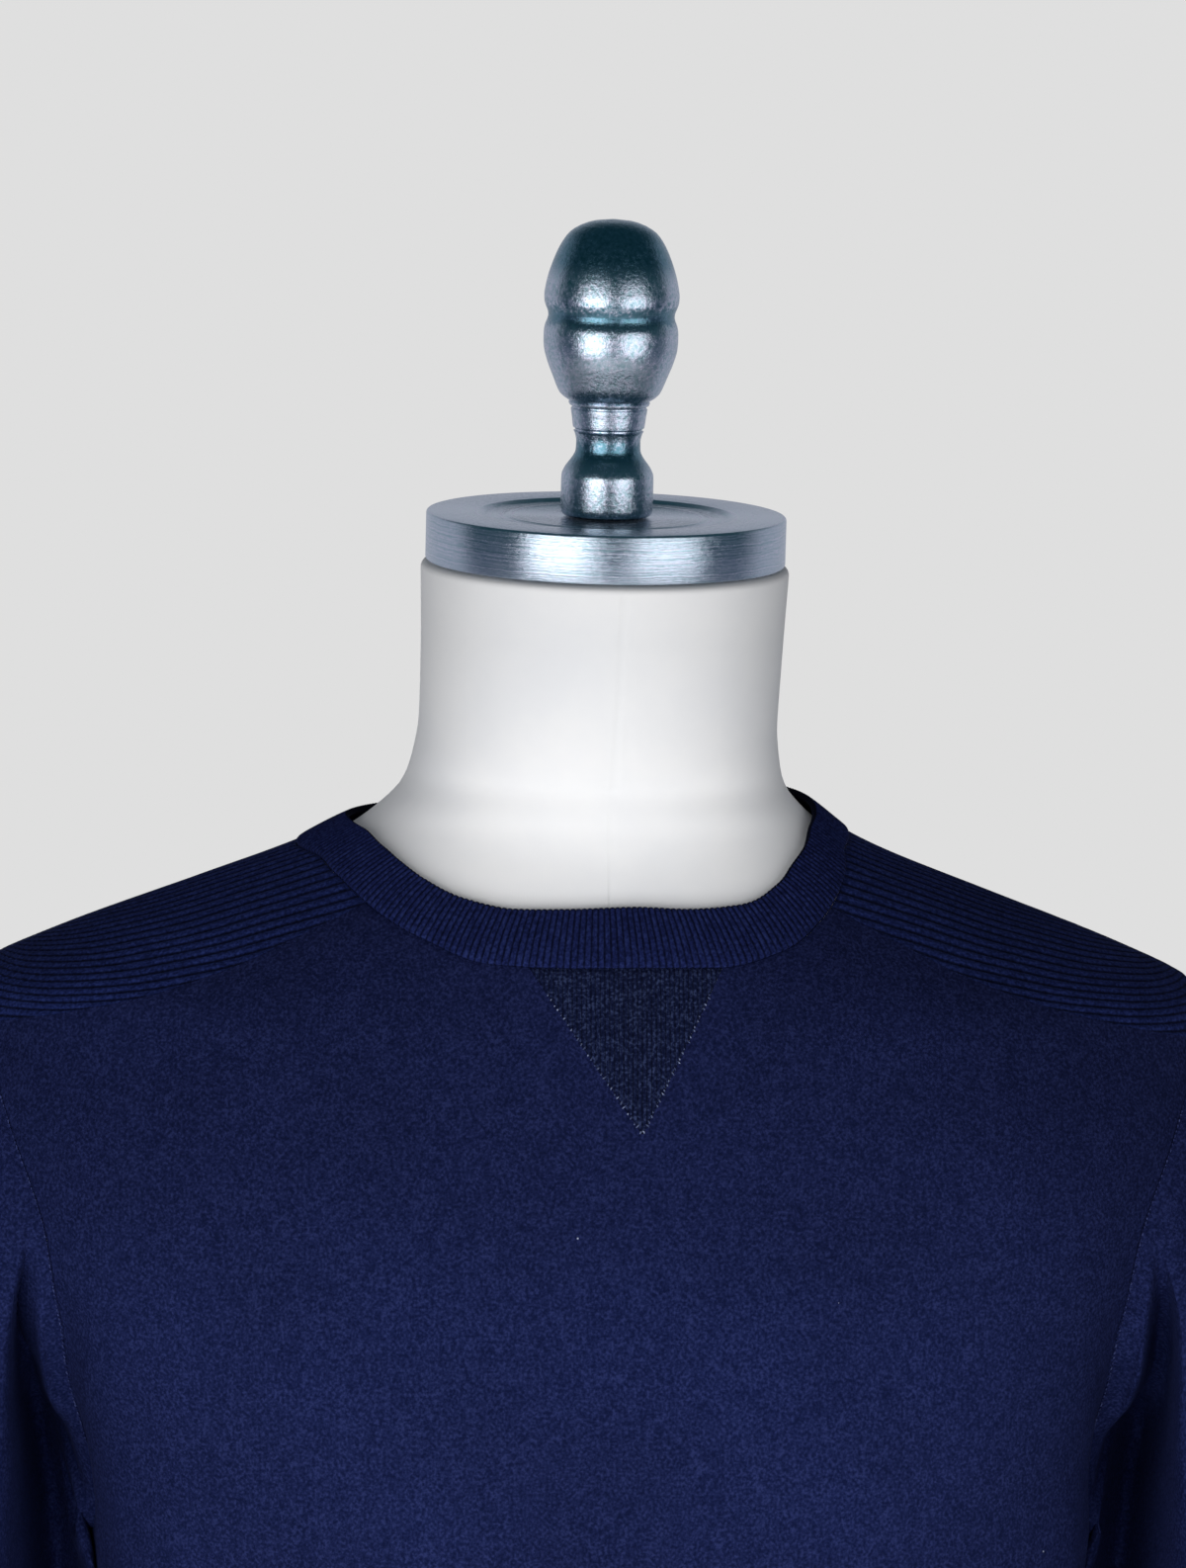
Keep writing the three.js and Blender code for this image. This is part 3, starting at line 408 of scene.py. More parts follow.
def powderCoat():
    # Satin powder coat on steel: fine orange peel about 1.5 mm across
    material, tree, shader = newMaterial("powderCoat")
    place = addNode(tree, "ShaderNodeTexCoord").outputs["Object"]
    peel = addNode(tree, "ShaderNodeTexNoise", Vector=place, Scale=650.0, Detail=2.0)
    wear = addNode(tree, "ShaderNodeTexNoise", Vector=place, Scale=30.0, Detail=5.0)
    tone = colourRamp(tree, wear.outputs["Fac"], (0.35, "#26282B"), (0.7, "#35383B"))
    bump = addNode(tree, "ShaderNodeBump", Strength=0.2, Distance=0.1 * mm, Height=peel.outputs["Fac"])
    tree.links.new(tone, shader.inputs["Base Color"])
    tree.links.new(bump.outputs["Normal"], shader.inputs["Normal"])
    shader.inputs["Roughness"].default_value = 0.45
    return material


# ---- the body surface, in millimetres

def table(names, *rows):
    return dict(zip(names.split(), np.array(rows, float).T))


def column(rows, name, at):
    # Smooth curve through one column of a table. The first column is the key, in rising order.
    key = next(iter(rows))
    x, y = rows[key], rows[name]
    slopes = np.diff(y) / np.diff(x)
    before, after = slopes[:-1], slopes[1:]
    together = np.where(before + after == 0, 1, before + after)
    middle = np.where(before * after <= 0, 0, 2 * before * after / together)
    tangents = np.concatenate([slopes[:1], middle, slopes[-1:]])
    at = np.clip(at, x[0], x[-1])
    i = np.clip(np.searchsorted(x, at, side="right") - 1, 0, len(x) - 2)
    span = x[i + 1] - x[i]
    t = (at - x[i]) / span
    return ((1 + 2 * t) * (1 - t) ** 2 * y[i] + t * (1 - t) ** 2 * span * tangents[i]
            + t * t * (3 - 2 * t) * y[i + 1] + t * t * (t - 1) * span * tangents[i + 1])


# Horizontal sections: half the width, how far the front and the back stand out, how square the curve is
# across (flat) and in depth (side), how far it is moved back (lean), and how it tips forwards (nod)
bodySections = table(
    "level halfWidth front back flat side lean nod",
    (-700, 165, 106, 107, 2.5, 2.4, 0, 0),
    (-665, 168, 109, 109, 2.5, 2.4, 0, 0),
    (-600, 172, 112, 110, 2.5, 2.4, 0, 0),
    (-500, 170, 112.5, 104, 2.5, 2.4, 0, 0),
    (-400, 170, 113.5, 102, 2.5, 2.4, 0, 0),
    (-300, 174, 117, 108, 2.5, 2.4, 0, 0),
    (-240, 177, 119, 114, 2.6, 2.5, 0, 0),
    (-203, 180.5, 119.3, 117, 2.6, 2.5, 0, 0),
    (-187, 185, 119, 118, 2.6, 2.5, 0, 0),
    (-158, 197.5, 117, 118.5, 2.6, 2.5, 0, 0),
    (-136, 206, 114.5, 118, 2.6, 2.5, 0, 0),
    (-107, 213.5, 110, 116, 2.5, 2.4, 0, 0),
    (-81, 217.5, 105, 112, 2.3, 2.2, 0, 0),
    (-62, 218, 100, 109, 2.15, 1.95, 0, 0),
    (-50, 215, 95.5, 106, 2.1, 1.85, 0, 0),
    (-42, 207, 91.5, 103, 2.05, 1.75, 0, 0),
    (-32, 186, 86.5, 98, 2, 1.65, 0, 0),
    (-13, 136, 75, 87, 2, 1.65, 0, 0),
    (0, 101.5, 68, 79, 2, 1.75, 0, 0),
    (5.8, 89.2, 66, 75, 2, 1.8, 0, 0),
    (10.4, 81.8, 65, 72, 2, 1.85, 0, 0),
    (14.5, 76.8, 64, 70, 2, 1.9, -1, 0),
    (18.5, 72.5, 63, 68, 2, 1.95, -2, 0),
    (24, 68, 62, 66, 2, 2, -3, 0.2),
    (30, 66.2, 63, 65, 2, 2, -5, 0.5),
    (45, 64.3, 64, 64, 2, 2, -9, 1.2),
    (70, 64.7, 65, 65, 2, 2, -14, 2.4),
    (100, 65.8, 66.2, 66.2, 2, 2, -18, 3.3),
)
sidewaysLean = 0.08  # to the wearer's left, for each mm of lean towards the front
# How far a level stands to the wearer's left, and over how many mm the sections are evened out
bodyAside = table("level aside", (-700, 4.3), (-235, 4.3), (-205, 2), (-165, 0.4), (-115, 0), (100, 0))
evening = table("level spread", (-160, 12), (-110, 7), (-60, 2.5), (-20, 1.2), (100, 3))

# Level of the neckband's outer seam and of its edge, round the neck. Centre front is 0, the wearer's
# left is 90 and centre back is 180.
neckline = table(
    "turn seam edge",
    (-180, 4.5, 19), (-150, 4, 13), (-120, 2.2, 9), (-90, 0, 9), (-66, -1.3, 7.3), (-50, -5.8, 3),
    (-40, -10.5, -1), (-30, -17.2, -6), (-20, -24.8, -11.2), (-12, -30.8, -13.6), (-5, -31.5, -13.2),
    (5, -31, -12.2), (12, -30.9, -12.8), (20, -26.4, -11.7), (30, -17.1, -6), (40, -9.1, 0.3),
    (50, -3.2, 5), (65, 3.4, 11.4), (90, 6.6, 16.6), (120, 7.4, 19), (150, 6, 20.5), (180, 4.5, 19),
)
# Turn of the armhole seam, from the shoulder (0) to the underarm (180)
armhole = table(
    "around turn",
    (-20, 100.5), (0, 90), (20, 79.5), (40, 71), (60, 64), (80, 59.8), (100, 65.5), (120, 77), (140, 83.5),
    (160, 87), (180, 90), (200, 94),
)
# Seam of a shoulder panel, from the neckband to the armhole
panelSeam = table(
    "along turn level",
    (0, 35, -13), (0.2, 37, -24), (0.4, 39, -34), (0.6, 43.5, -43.5), (0.8, 53.5, -52), (1, 72.7, -60.9),
)
levels = {"hemTop": -605, "hemBottom": -665, "underarm": -240, "shoulderTip": -42, "sleeveStraight": -330,
          "cuffTop": -620, "formBottom": -700, "neckTop": 98.65}
panelCorner, neckCorner = 36, 35  # where a shoulder panel meets the armhole and the neckband

# Creases of the body: centre across (mm of cloth from centre front) and level, half length, half width,
# lift of a ridge or depth of a trough, and lean from upright in degrees
bodyCreases = table(
    "across level length width lift lean",
    (-185, -500, 150, 30, 3.2, 0), (175, -530, 130, 28, 2.8, 0), (-320, -470, 170, 34, 3.6, 0),
    (335, -520, 150, 32, 3.2, 0), (475, -430, 120, 40, -3, 0),
    (-247, -254, 60, 24, -6, 4), (-214, -236, 50, 14, -2.2, 12), (-196, -300, 95, 13, 1.9, 20),
    (246, -258, 64, 24, -6.2, -4), (213, -240, 55, 14, -2.4, -13), (188, -318, 90, 14, 1.8, -20),
    (-120, -560, 70, 15, 1.7, -8), (95, -575, 55, 13, 1.6, 10),
    (20, -590, 40, 16, -1.2, 4), (-235, -590, 60, 14, -2.2, 6), (238, -560, 85, 15, -2.4, -5),
    (-395, -250, 85, 14, -3.2, -30), (-372, -300, 110, 16, 2.6, -24), (392, -262, 90, 15, -3.4, 28),
    (370, -310, 100, 15, 2.4, 24), (-440, -560, 80, 18, 2.2, 8), (430, -350, 130, 20, -2.0, 12),
    (-470, -180, 90, 26, -1.6, 4), (480, -300, 26, 70, 1.6, 4), (470, -345, 18, 95, -1.8, -3),
)


def signedPower(value, power):
    return np.sign(value) * np.abs(value) ** power


def wrapTurn(turn):
    return (np.asarray(turn) + 180) % 360 - 180


def bell(distance, width):
    return np.exp(-(distance / width) ** 2)


def easy(value, start, end):
    t = np.clip((value - start) / (end - start), 0, 1)
    return t * t * (3 - 2 * t)


def lengthAlong(points):
    return np.concatenate([[0], np.cumsum(np.linalg.norm(np.diff(points, axis=0), axis=1))])


# Millimetres of cloth are counted round one plain section of the chest
chestSection = {"halfWidth": 200, "depth": 112, "flat": 2.5, "side": 2.4}


def makeArcPlaces():
    # Even places along the section against its turns, over a quarter
    turns = 90 * (1 - np.cos(np.linspace(0, math.pi, 4001))) / 2
    sine, cosine = np.sin(np.radians(turns)), np.cos(np.radians(turns))
    cosine[-1] = 0
    outline = np.stack([chestSection["halfWidth"] * sine ** (2 / chestSection["flat"]),
                        chestSection["depth"] * cosine ** (2 / chestSection["side"])], 1)
    return turns, lengthAlong(outline)


quarterTurns, quarterWalked = makeArcPlaces()
quarterLength = quarterWalked[-1]


def walkedAt(turn):
    # Millimetres of cloth from centre front to a turn
    turn = np.asarray(turn, float)
    quarter = np.floor(turn / 90)
    rest = turn - 90 * quarter
    odd = quarter % 2 == 1
    walked = np.interp(np.where(odd, 90 - rest, rest), quarterTurns, quarterWalked)
    return quarter * quarterLength + np.where(odd, quarterLength - walked, walked)


def turnAt(walked):
    quarter = np.floor(walked / quarterLength)
    rest = walked - quarter * quarterLength
    odd = quarter % 2 == 1
    turn = np.interp(np.where(odd, quarterLength - rest, rest), quarterWalked, quarterTurns)
    return 90 * quarter + np.where(odd, 90 - turn, turn)


def creaseLift(creases, across, level, wrap=None):
    lift = np.zeros(np.broadcast(across, level).shape)
    for i in range(len(creases["across"])):
        one = {name: values[i] for name, values in creases.items()}
        aside = across - one["across"]
        if wrap:
            aside = (aside + wrap / 2) % wrap - wrap / 2
        lean = math.radians(one["lean"])
        along = (level - one["level"]) * math.cos(lean) + aside * math.sin(lean)
        aside = aside * math.cos(lean) - (level - one["level"]) * math.sin(lean)
        lift += one["lift"] * bell(along, one["length"]) * bell(aside, one["width"])
    return lift


def section(name, level):
    # A column of the sections, evened out over a few millimetres so that no band shows
    spread = column(evening, "spread", level)
    shares = {-2: 0.054, -1: 0.244, 0: 0.404, 1: 0.244, 2: 0.054}
    return sum(share * column(bodySections, name, level + step * spread) for step, share in shares.items())


def bodyPoint(turn, level, creased=True):
    turn, level = np.broadcast_arrays(np.asarray(turn, float), np.asarray(level, float))
    sine, cosine = np.sin(np.radians(turn)), np.cos(np.radians(turn))
    lift = creaseLift(bodyCreases, walkedAt(turn), level, 4 * quarterLength) if creased else 0
    depth = lift + np.where(cosine > 0, section("front", level), section("back", level))
    across = (lift + section("halfWidth", level)) * signedPower(sine, 2 / section("flat", level))
    along = -depth * signedPower(cosine, 2 / section("side", level))
    lean = section("lean", level)
    tip = np.tan(np.radians(section("nod", level)))
    across = across - sidewaysLean * lean + column(bodyAside, "aside", level)
    return np.stack([across, lean + along, shoulderHeight + level + along * tip], -1)


def bodyNormal(walked, level, creased=True):
    half = 0.6
    aside = (bodyPoint(turnAt(walked + half), level, creased)
             - bodyPoint(turnAt(walked - half), level, creased))
    up = bodyPoint(turnAt(walked), level + half, creased) - bodyPoint(turnAt(walked), level - half, creased)
    normal = np.cross(aside, up)
    return normal / np.linalg.norm(normal, axis=-1, keepdims=True)


# ---- seams, as lists of (millimetres across, level)

def neckSeam(turns):
    level = column(neckline, "seam", wrapTurn(turns))
    return np.stack([walkedAt(turns), level], -1)


def armholeSeam(around):
    around = np.asarray(around, float)
    turn = column(armhole, "turn", np.abs(wrapTurn(around)))
    turn = np.where(wrapTurn(around) < 0, 180 - turn, turn)
    drop = (1 - np.cos(np.radians(around))) / 2
    level = levels["shoulderTip"] + (levels["underarm"] - levels["shoulderTip"]) * drop
    return np.stack([walkedAt(turn), level], -1)


def shoulderSeam(along, side, behind):
    neckTurn = 180 - neckCorner if behind else neckCorner
    neckLevel = column(neckline, "seam", side * neckTurn)
    armTurn, armLevel = turnAt(armholeSeam(panelCorner)[0]), armholeSeam(panelCorner)[1]
    turn = column(panelSeam, "turn", along) + (armTurn - panelSeam["turn"][-1]) * along
    level = (column(panelSeam, "level", along) + (neckLevel - panelSeam["level"][0]) * (1 - along)
             + (armLevel - panelSeam["level"][-1]) * along)
    turn = 180 - turn if behind else turn
    return np.stack([walkedAt(side * turn), level], -1)


def crowded(count, ends, *near):
    # Even steps from 0 to 1, with extra ones close to the ends for the rolled edges of a seam
    extra = list(near) if "start" in ends else []
    extra += [1 - place for place in near] if "end" in ends else []
    return np.unique(np.round(np.concatenate([np.linspace(0, 1, count + 1), extra]), 7))


def blendEdges(bottom, top, start, end, rise=lambda v: v):
    # Places between four edges, each a function of 0 to 1 that gives (across, level). rise is how much of
    # the top edge's shape is felt at a height.
    def blend(u, v):
        a, b = bottom(u)[None], top(u)[None]
        c, d = start(v)[:, None], end(v)[:, None]
        u, v = u[None, :, None], rise(v)[:, None, None]
        corners = ((1 - v) * ((1 - u) * bottom(np.array([0.0]))[None] + u * bottom(np.array([1.0]))[None])
                   + v * ((1 - u) * top(np.array([0.0]))[None] + u * top(np.array([1.0]))[None]))
        return (1 - v) * a + v * b + (1 - u) * c + u * d - corners
    return blend


def joined(*curves):
    # One edge made of several, each with its share of 0 to 1
    shares = np.cumsum([0] + [share for share, _ in curves])

    def edge(t):
        t = np.asarray(t, float)
        out = np.zeros(t.shape + (2,))
        for (share, curve), low, high in zip(curves, shares[:-1], shares[1:]):
            here = (t >= low - 1e-9) & (t <= high + 1e-9)
            out[here] = curve(np.clip((t[here] - low) / share, 0, 1))
        return out
    return edge


def toSeams(points, gap, edges="bottom top start end"):
    # Pulls the outermost points of a grid inwards, so that neighbours don't touch
    points = points.copy()
    for edge, at, inner in (("bottom", 0, 1), ("top", -1, -2)):
        if edge in edges:
            step = points[inner] - points[at]
            along = np.gradient(points[at], axis=0)
            along /= np.linalg.norm(along, axis=-1, keepdims=True)
            step -= along * (step * along).sum(-1, keepdims=True)
            points[at] += gap * step / np.linalg.norm(step, axis=-1, keepdims=True)
    if "start" in edges:
        points = toSeams(points.swapaxes(0, 1), gap, "bottom top").swapaxes(0, 1)
    return points


def walkedGrid(points):
    # Millimetres from each edge of a grid, along its own lines
    down = np.concatenate([np.zeros_like(points[:1, :, 0]),
                           np.cumsum(np.linalg.norm(np.diff(points, axis=0), axis=-1), 0)])
    aside = np.concatenate([np.zeros_like(points[:, :1, 0]),
                            np.cumsum(np.linalg.norm(np.diff(points, axis=1), axis=-1), 1)], 1)
    return {"bottom": down, "top": down[-1] - down, "start": aside, "end": aside[:, -1:] - aside}


def ringNormals(points):
    # Normals of a grid whose last column lies on its first
    wide = np.concatenate([points[:, -2:-1], points, points[:, 1:2]], 1)
    normal = np.cross(wide[:, 2:] - wide[:, :-2], np.gradient(points, axis=0))
    return normal / np.linalg.norm(normal, axis=-1, keepdims=True)


# ---- making cloth

sideNames = {1: "left", -1: "right"}


def pick(*chosen):
    # Selects objects and makes the first one active
    bpy.ops.object.select_all(action="DESELECT")
    for one in chosen:
        one.select_set(True)
    bpy.context.view_layer.objects.active = chosen[0]


def clothPiece(name, points, uv, material, closed=False):
    # A grid whose vertices are laid on the cloth's surface, with a UV map in metres of cloth
    rows, columns = points.shape[:2]
    bpy.ops.mesh.primitive_grid_add(x_subdivisions=columns - 1, y_subdivisions=rows - 1, size=1)
    piece = bpy.context.object
    piece.name = piece.data.name = name
    piece.data.vertices.foreach_set("co", (points * mm).astype(np.float32).ravel())
    corners = np.zeros(len(piece.data.loops), np.int32)
    piece.data.loops.foreach_get("vertex_index", corners)
    piece.data.uv_layers[0].name = "UVMap"
    flat = (uv * mm).reshape(-1, 2).astype(np.float32)
    piece.data.uv_layers[0].data.foreach_set("uv", flat[corners].ravel())
    piece.data.update()
    piece.data.materials.append(material)
    if closed:
        editMesh(piece)
        bpy.ops.mesh.select_all(action="SELECT")
        bpy.ops.mesh.remove_doubles(threshold=0.00001)
        bpy.ops.object.mode_set(mode="OBJECT")
    pieces[name] = piece
    return piece


def editMesh(piece):
    pick(piece)
    bpy.ops.object.mode_set(mode="EDIT")


def smooth(piece, angle):
    pick(piece)
    bpy.ops.object.shade_smooth_by_angle(angle=math.radians(angle))


def thicken(piece, thickness, heights=None, normals=None):
    # Solidify keeps the outer face first in the list, so its ribs are raised after it
    pick(piece)
    wall = piece.modifiers.new("Solidify", "SOLIDIFY")
    wall.thickness = thickness * mm
    wall.offset = -1
    wall.use_even_offset = False
    bpy.ops.object.modifier_apply(modifier=wall.name)
    if heights is not None:
        raiseOuter(piece, heights, normals)


def raiseOuter(piece, heights, normals):
    count = heights.size
    spots = np.zeros(len(piece.data.vertices) * 3, np.float32)
    piece.data.vertices.foreach_get("co", spots)
    spots = spots.reshape(-1, 3)
    spots[:count] += (heights[..., None] * normals * mm).reshape(-1, 3)
    piece.data.vertices.foreach_set("co", spots.ravel())
    piece.data.update()


def sheetArea(piece):
    areas = np.zeros(len(piece.data.polygons))
    piece.data.polygons.foreach_get("area", areas)
    return areas.sum() / 2


def finishCloth(piece, node, flat, area=None, angle=50):
    smooth(piece, angle)
    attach(piece, "root")
    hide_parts(node)
    cut = area or flat[0] * flat[1]
    print(f"{piece.name}: {len(piece.data.polygons)} faces, {sheetArea(piece) / cut:.2f} of its cut")


def finishHard(piece, node, angle):
    smooth(piece, angle)
    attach(piece, "root")
    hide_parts(node)


def ribWave(count, roundness, middle):
    # One rib for each whole number: the lower the roundness the flatter its top
    return np.abs(np.sin(np.pi * count)) ** roundness - middle


def bandProfile(half, outside, fold, step, inside):
    # Closed section of a folded band: shares of its width, and how far out of the cloth's middle
    bend = [(fold + (1 - fold) * math.sin(math.radians(a)), half * math.cos(math.radians(a)))
            for a in range(0, 181, step)]
    profile = [(share, half) for share in outside] + bend + [(share, -half) for share in inside]
    return profile + profile[:1]


def seamRoll(distance, lip, sink):
    # A seam's edge dips at the very edge and stands up just beside it
    return lip * bell(distance - 1.5, 0.9) - sink * bell(distance, 0.55)


# Front and back: plain jersey, shaped to the armholes, the shoulder panels and the neckband
# hangs: the share of a panel's height up to the underarm. shoulder: the share of its top edge that each
# shoulder takes
bodyPanels = {"thickness": 1.2, "gap": 0.06, "armLip": 0.1, "armSink": 0.3, "columns": 170, "rows": 175,
              "neckSink": 0.3, "hemSink": 0.35, "hangs": 0.52, "shoulder": 0.36, "bend": 1.4}
# The seam lies in a soft valley below the shoulder panels, and the sleeve's edge stands up beside it
armValley = {"width": 21, "sleeveWidth": 4.2, "lip": 0.6, "lipPlace": 2.6}
valleyDepth = table("around depth", (36, 0), (60, 0.8), (82, 2.4), (104, 4.8), (132, 4.6), (158, 1.5),
                    (176, 0))


def valleyAt(around):
    return column(valleyDepth, "depth", np.abs(wrapTurn(around)))


def aroundAt(level):
    share = (levels["shoulderTip"] - level) / (levels["shoulderTip"] - levels["underarm"])
    return np.degrees(np.arccos(1 - 2 * np.clip(share, 0, 1)))


# The V's corners and its point: millimetres to the wearer's left of the middle, and levels
vShape = {"topLeft": -25, "topRight": 39, "topLevel": -31.5, "pointAcross": 12.5, "pointLevel": -84}


def bodyPanel(behind):
    settings = bodyPanels
    hangs, shoulderShare = settings["hangs"], settings["shoulder"]
    centre = 180 if behind else 0
    first, last = (1, -1) if behind else (-1, 1)  # wearer's side of each end of the panel

    def sideEdge(side):
        def hang(t):
            turn = np.full(t.shape, 90.0 * side)
            turn = turn if not behind or side > 0 else turn + 360
            level = levels["hemTop"] + (levels["underarm"] - levels["hemTop"]) * t
            return np.stack([walkedAt(turn), level], -1)

        def arm(t):
            around = 180 + (panelCorner - 180) * t
            seam = armholeSeam(around)
            if behind:
                seam[:, 0] = 2 * quarterLength - seam[:, 0]
            seam[:, 0] *= side
            if behind and side < 0:
                seam[:, 0] += 4 * quarterLength
            return seam
        return joined((hangs, hang), (1 - hangs, arm))

    def shoulder(side, towardsNeck):
        def edge(t):
            seam = shoulderSeam(1 - t if towardsNeck else t, side, behind)
            if behind and side < 0:
                seam[:, 0] += 4 * quarterLength
            return seam
        return edge

    def neck(t):
        return neckSeam(centre - neckCorner + 2 * neckCorner * t)

    def hem(t):
        across = walkedAt(centre - 90) + (walkedAt(centre + 90) - walkedAt(centre - 90)) * t
        return np.stack([across, np.full(t.shape, float(levels["hemTop"]))], -1)

    top = joined((shoulderShare, shoulder(first, True)), (1 - 2 * shoulderShare, neck),
                 (shoulderShare, shoulder(last, False)))
    u = crowded(settings["columns"], "start end", 0.001, 0.0025, 0.004, 0.0065)
    u = np.unique(np.concatenate([u, [shoulderShare, 1 - shoulderShare]]))
    v = crowded(settings["rows"], "start end", 0.0007, 0.0016, 0.003)
    v = np.unique(np.concatenate([v, [hangs]]))
    # rows stay level up to the underarm, and only then bend to the shoulders
    places = blendEdges(hem, top, sideEdge(first), sideEdge(last),
                        lambda v: np.clip((v - hangs) / (1 - hangs), 0, 1) ** settings["bend"])(u, v)
    across, level = places[..., 0], places[..., 1]
    points = bodyPoint(turnAt(across), level)
    normals = bodyNormal(across, level)
    edges = walkedGrid(points)
    besideArm = np.minimum(edges["start"], edges["end"])
    onArm = 1 / (1 + np.exp(-(level - levels["underarm"] - 6) / 4))
    roll = seamRoll(besideArm, settings["armLip"], settings["armSink"]) * onArm
    roll -= valleyAt(aroundAt(level)) * bell(besideArm, armValley["width"]) * onArm
    roll += seamRoll(besideArm, 0.1, 0.2) * (1 - onArm)
    neckStart = shoulderShare - 0.005
    byNeck = 1 / (1 + np.exp(-(np.minimum(u - neckStart, 1 - neckStart - u)) / 0.003))[None]
    roll -= byNeck * settings["neckSink"] * bell(edges["top"], 0.9)
    roll -= settings["hemSink"] * bell(edges["bottom"], 1.2)
    points = toSeams(points + normals * roll[..., None], settings["gap"])
    uv = np.stack([across, level], -1)
    name = "sweater_back" if behind else "sweater_front"
    piece = clothPiece(name, points, uv, finishes["finegaugeJersey"])
    if not behind:
        cutNotch(piece)
    thicken(piece, settings["thickness"])
    node = "back" if behind else "front"
    finishCloth(piece, node, flat=(0.52, 0.62), area=0.29)


def cutNotch(piece):
    # The V is cut out along two slanting planes, only among the faces around it
    left, right = vShape["topLeft"], vShape["topRight"]
    point = np.array([vShape["pointAcross"], 0, shoulderHeight + vShape["pointLevel"]])
    height = vShape["topLevel"] - vShape["pointLevel"]
    planes = []
    for across in (height, 0, point[0] - left), (-height, 0, right - point[0]):
        plane = np.array(across) / np.linalg.norm(across)  # it faces the middle of the V
        planes.append((point - plane * bodyPanels["gap"], plane))
    editMesh(piece)
    bpy.ops.mesh.select_mode(type="FACE")
    for where, plane in planes:
        selectFaces(piece, lambda c: abs(c.x / mm - (left + right) / 2) < 60 and c.z / mm > point[2] - 6
                    and c.y < 0)
        bpy.ops.mesh.bisect(plane_co=where * mm, plane_no=plane, threshold=0.000001)
    selectFaces(piece, lambda c: c.y < 0 and all(Vector(plane).dot(c - Vector(where * mm)) > 0
                                                 for where, plane in planes))
    bpy.ops.mesh.delete(type="FACE")
    bpy.ops.object.mode_set(mode="OBJECT")


def selectFaces(piece, wanted):
    bpy.ops.mesh.select_all(action="DESELECT")
    bpy.ops.object.mode_set(mode="OBJECT")
    for face in piece.data.polygons:
        face.select = bool(wanted(face.center))
    bpy.ops.object.mode_set(mode="EDIT")


bodyPanel(False)
bodyPanel(True)
print("front and back are hung")


# Shoulder panels: rows of knit stand up as ridges, and each ends at the seam below it. They climb away
# from the front and back seams, and lie flatter where the two sides meet.
shoulderPanels = {"thickness": 1.2, "gap": 0.06, "height": 0.95, "climb": 0.18, "bend": 0.0006,
                  "columns": 56, "rows": 320, "fade": 1.6, "meeting": 16, "flatter": 0.8}


def shoulderPanel(side):
    settings = shoulderPanels

    def front(t):
        return shoulderSeam(t, side, False)

    def back(t):
        return shoulderSeam(t, side, True)

    def neck(t):
        return neckSeam(side * (neckCorner + (180 - 2 * neckCorner) * t))

    def arm(t):
        seam = armholeSeam(panelCorner - 2 * panelCorner * t)
        seam[:, 0] *= side
        return seam

    u = crowded(settings["columns"], "start end", 0.002, 0.005, 0.009, 0.014)
    v = np.linspace(0, 1, settings["rows"] + 1)
    places = blendEdges(front, back, neck, arm)(u, v)
    across, level = places[..., 0], places[..., 1]
    points = bodyPoint(turnAt(across), level)
    normals = bodyNormal(across, level)
    edges = walkedGrid(points)
    # The rows of knit are flatter than the seam, so they climb away from it towards the armhole
    inwards = edges["end"]
    climb = settings["climb"] * inwards + settings["bend"] * inwards ** 2
    frontRow, backRow = edges["bottom"] + climb[:1], edges["top"] + climb[-1:]
    row = np.minimum(frontRow, backRow) / ridgePitch
    fade = 1 - bell(np.minimum(edges["bottom"], edges["top"]), settings["fade"])
    fade *= 1 - bell(np.minimum(edges["start"], edges["end"]), 1.2)
    heights = settings["height"] * ribWave(row, 0.55, 1) * fade
    heights += seamRoll(edges["end"], 0.35, 0.35) - 0.45 * bell(edges["start"], 1.1)
    heights *= 1 - settings["flatter"] * bell(frontRow - backRow, settings["meeting"])
    points = toSeams(points, settings["gap"])
    if side < 0:
        points, heights, normals, places = (grid[:, ::-1] for grid in (points, heights, normals, places))
    uv = np.stack([places[..., 0], (row if side > 0 else row[:, ::-1]) * ridgePitch], -1)
    name = sideNames[side]
    piece = clothPiece(f"ridged_shoulder_{name}", points, uv, finishes["ridgedJersey"])
    thicken(piece, settings["thickness"], heights, normals)
    finishCloth(piece, f"shoulder_panel_{name}", flat=(0.19, 0.17), area=0.0235)


shoulderPanel(1)
shoulderPanel(-1)
print("shoulder panels are ridged")


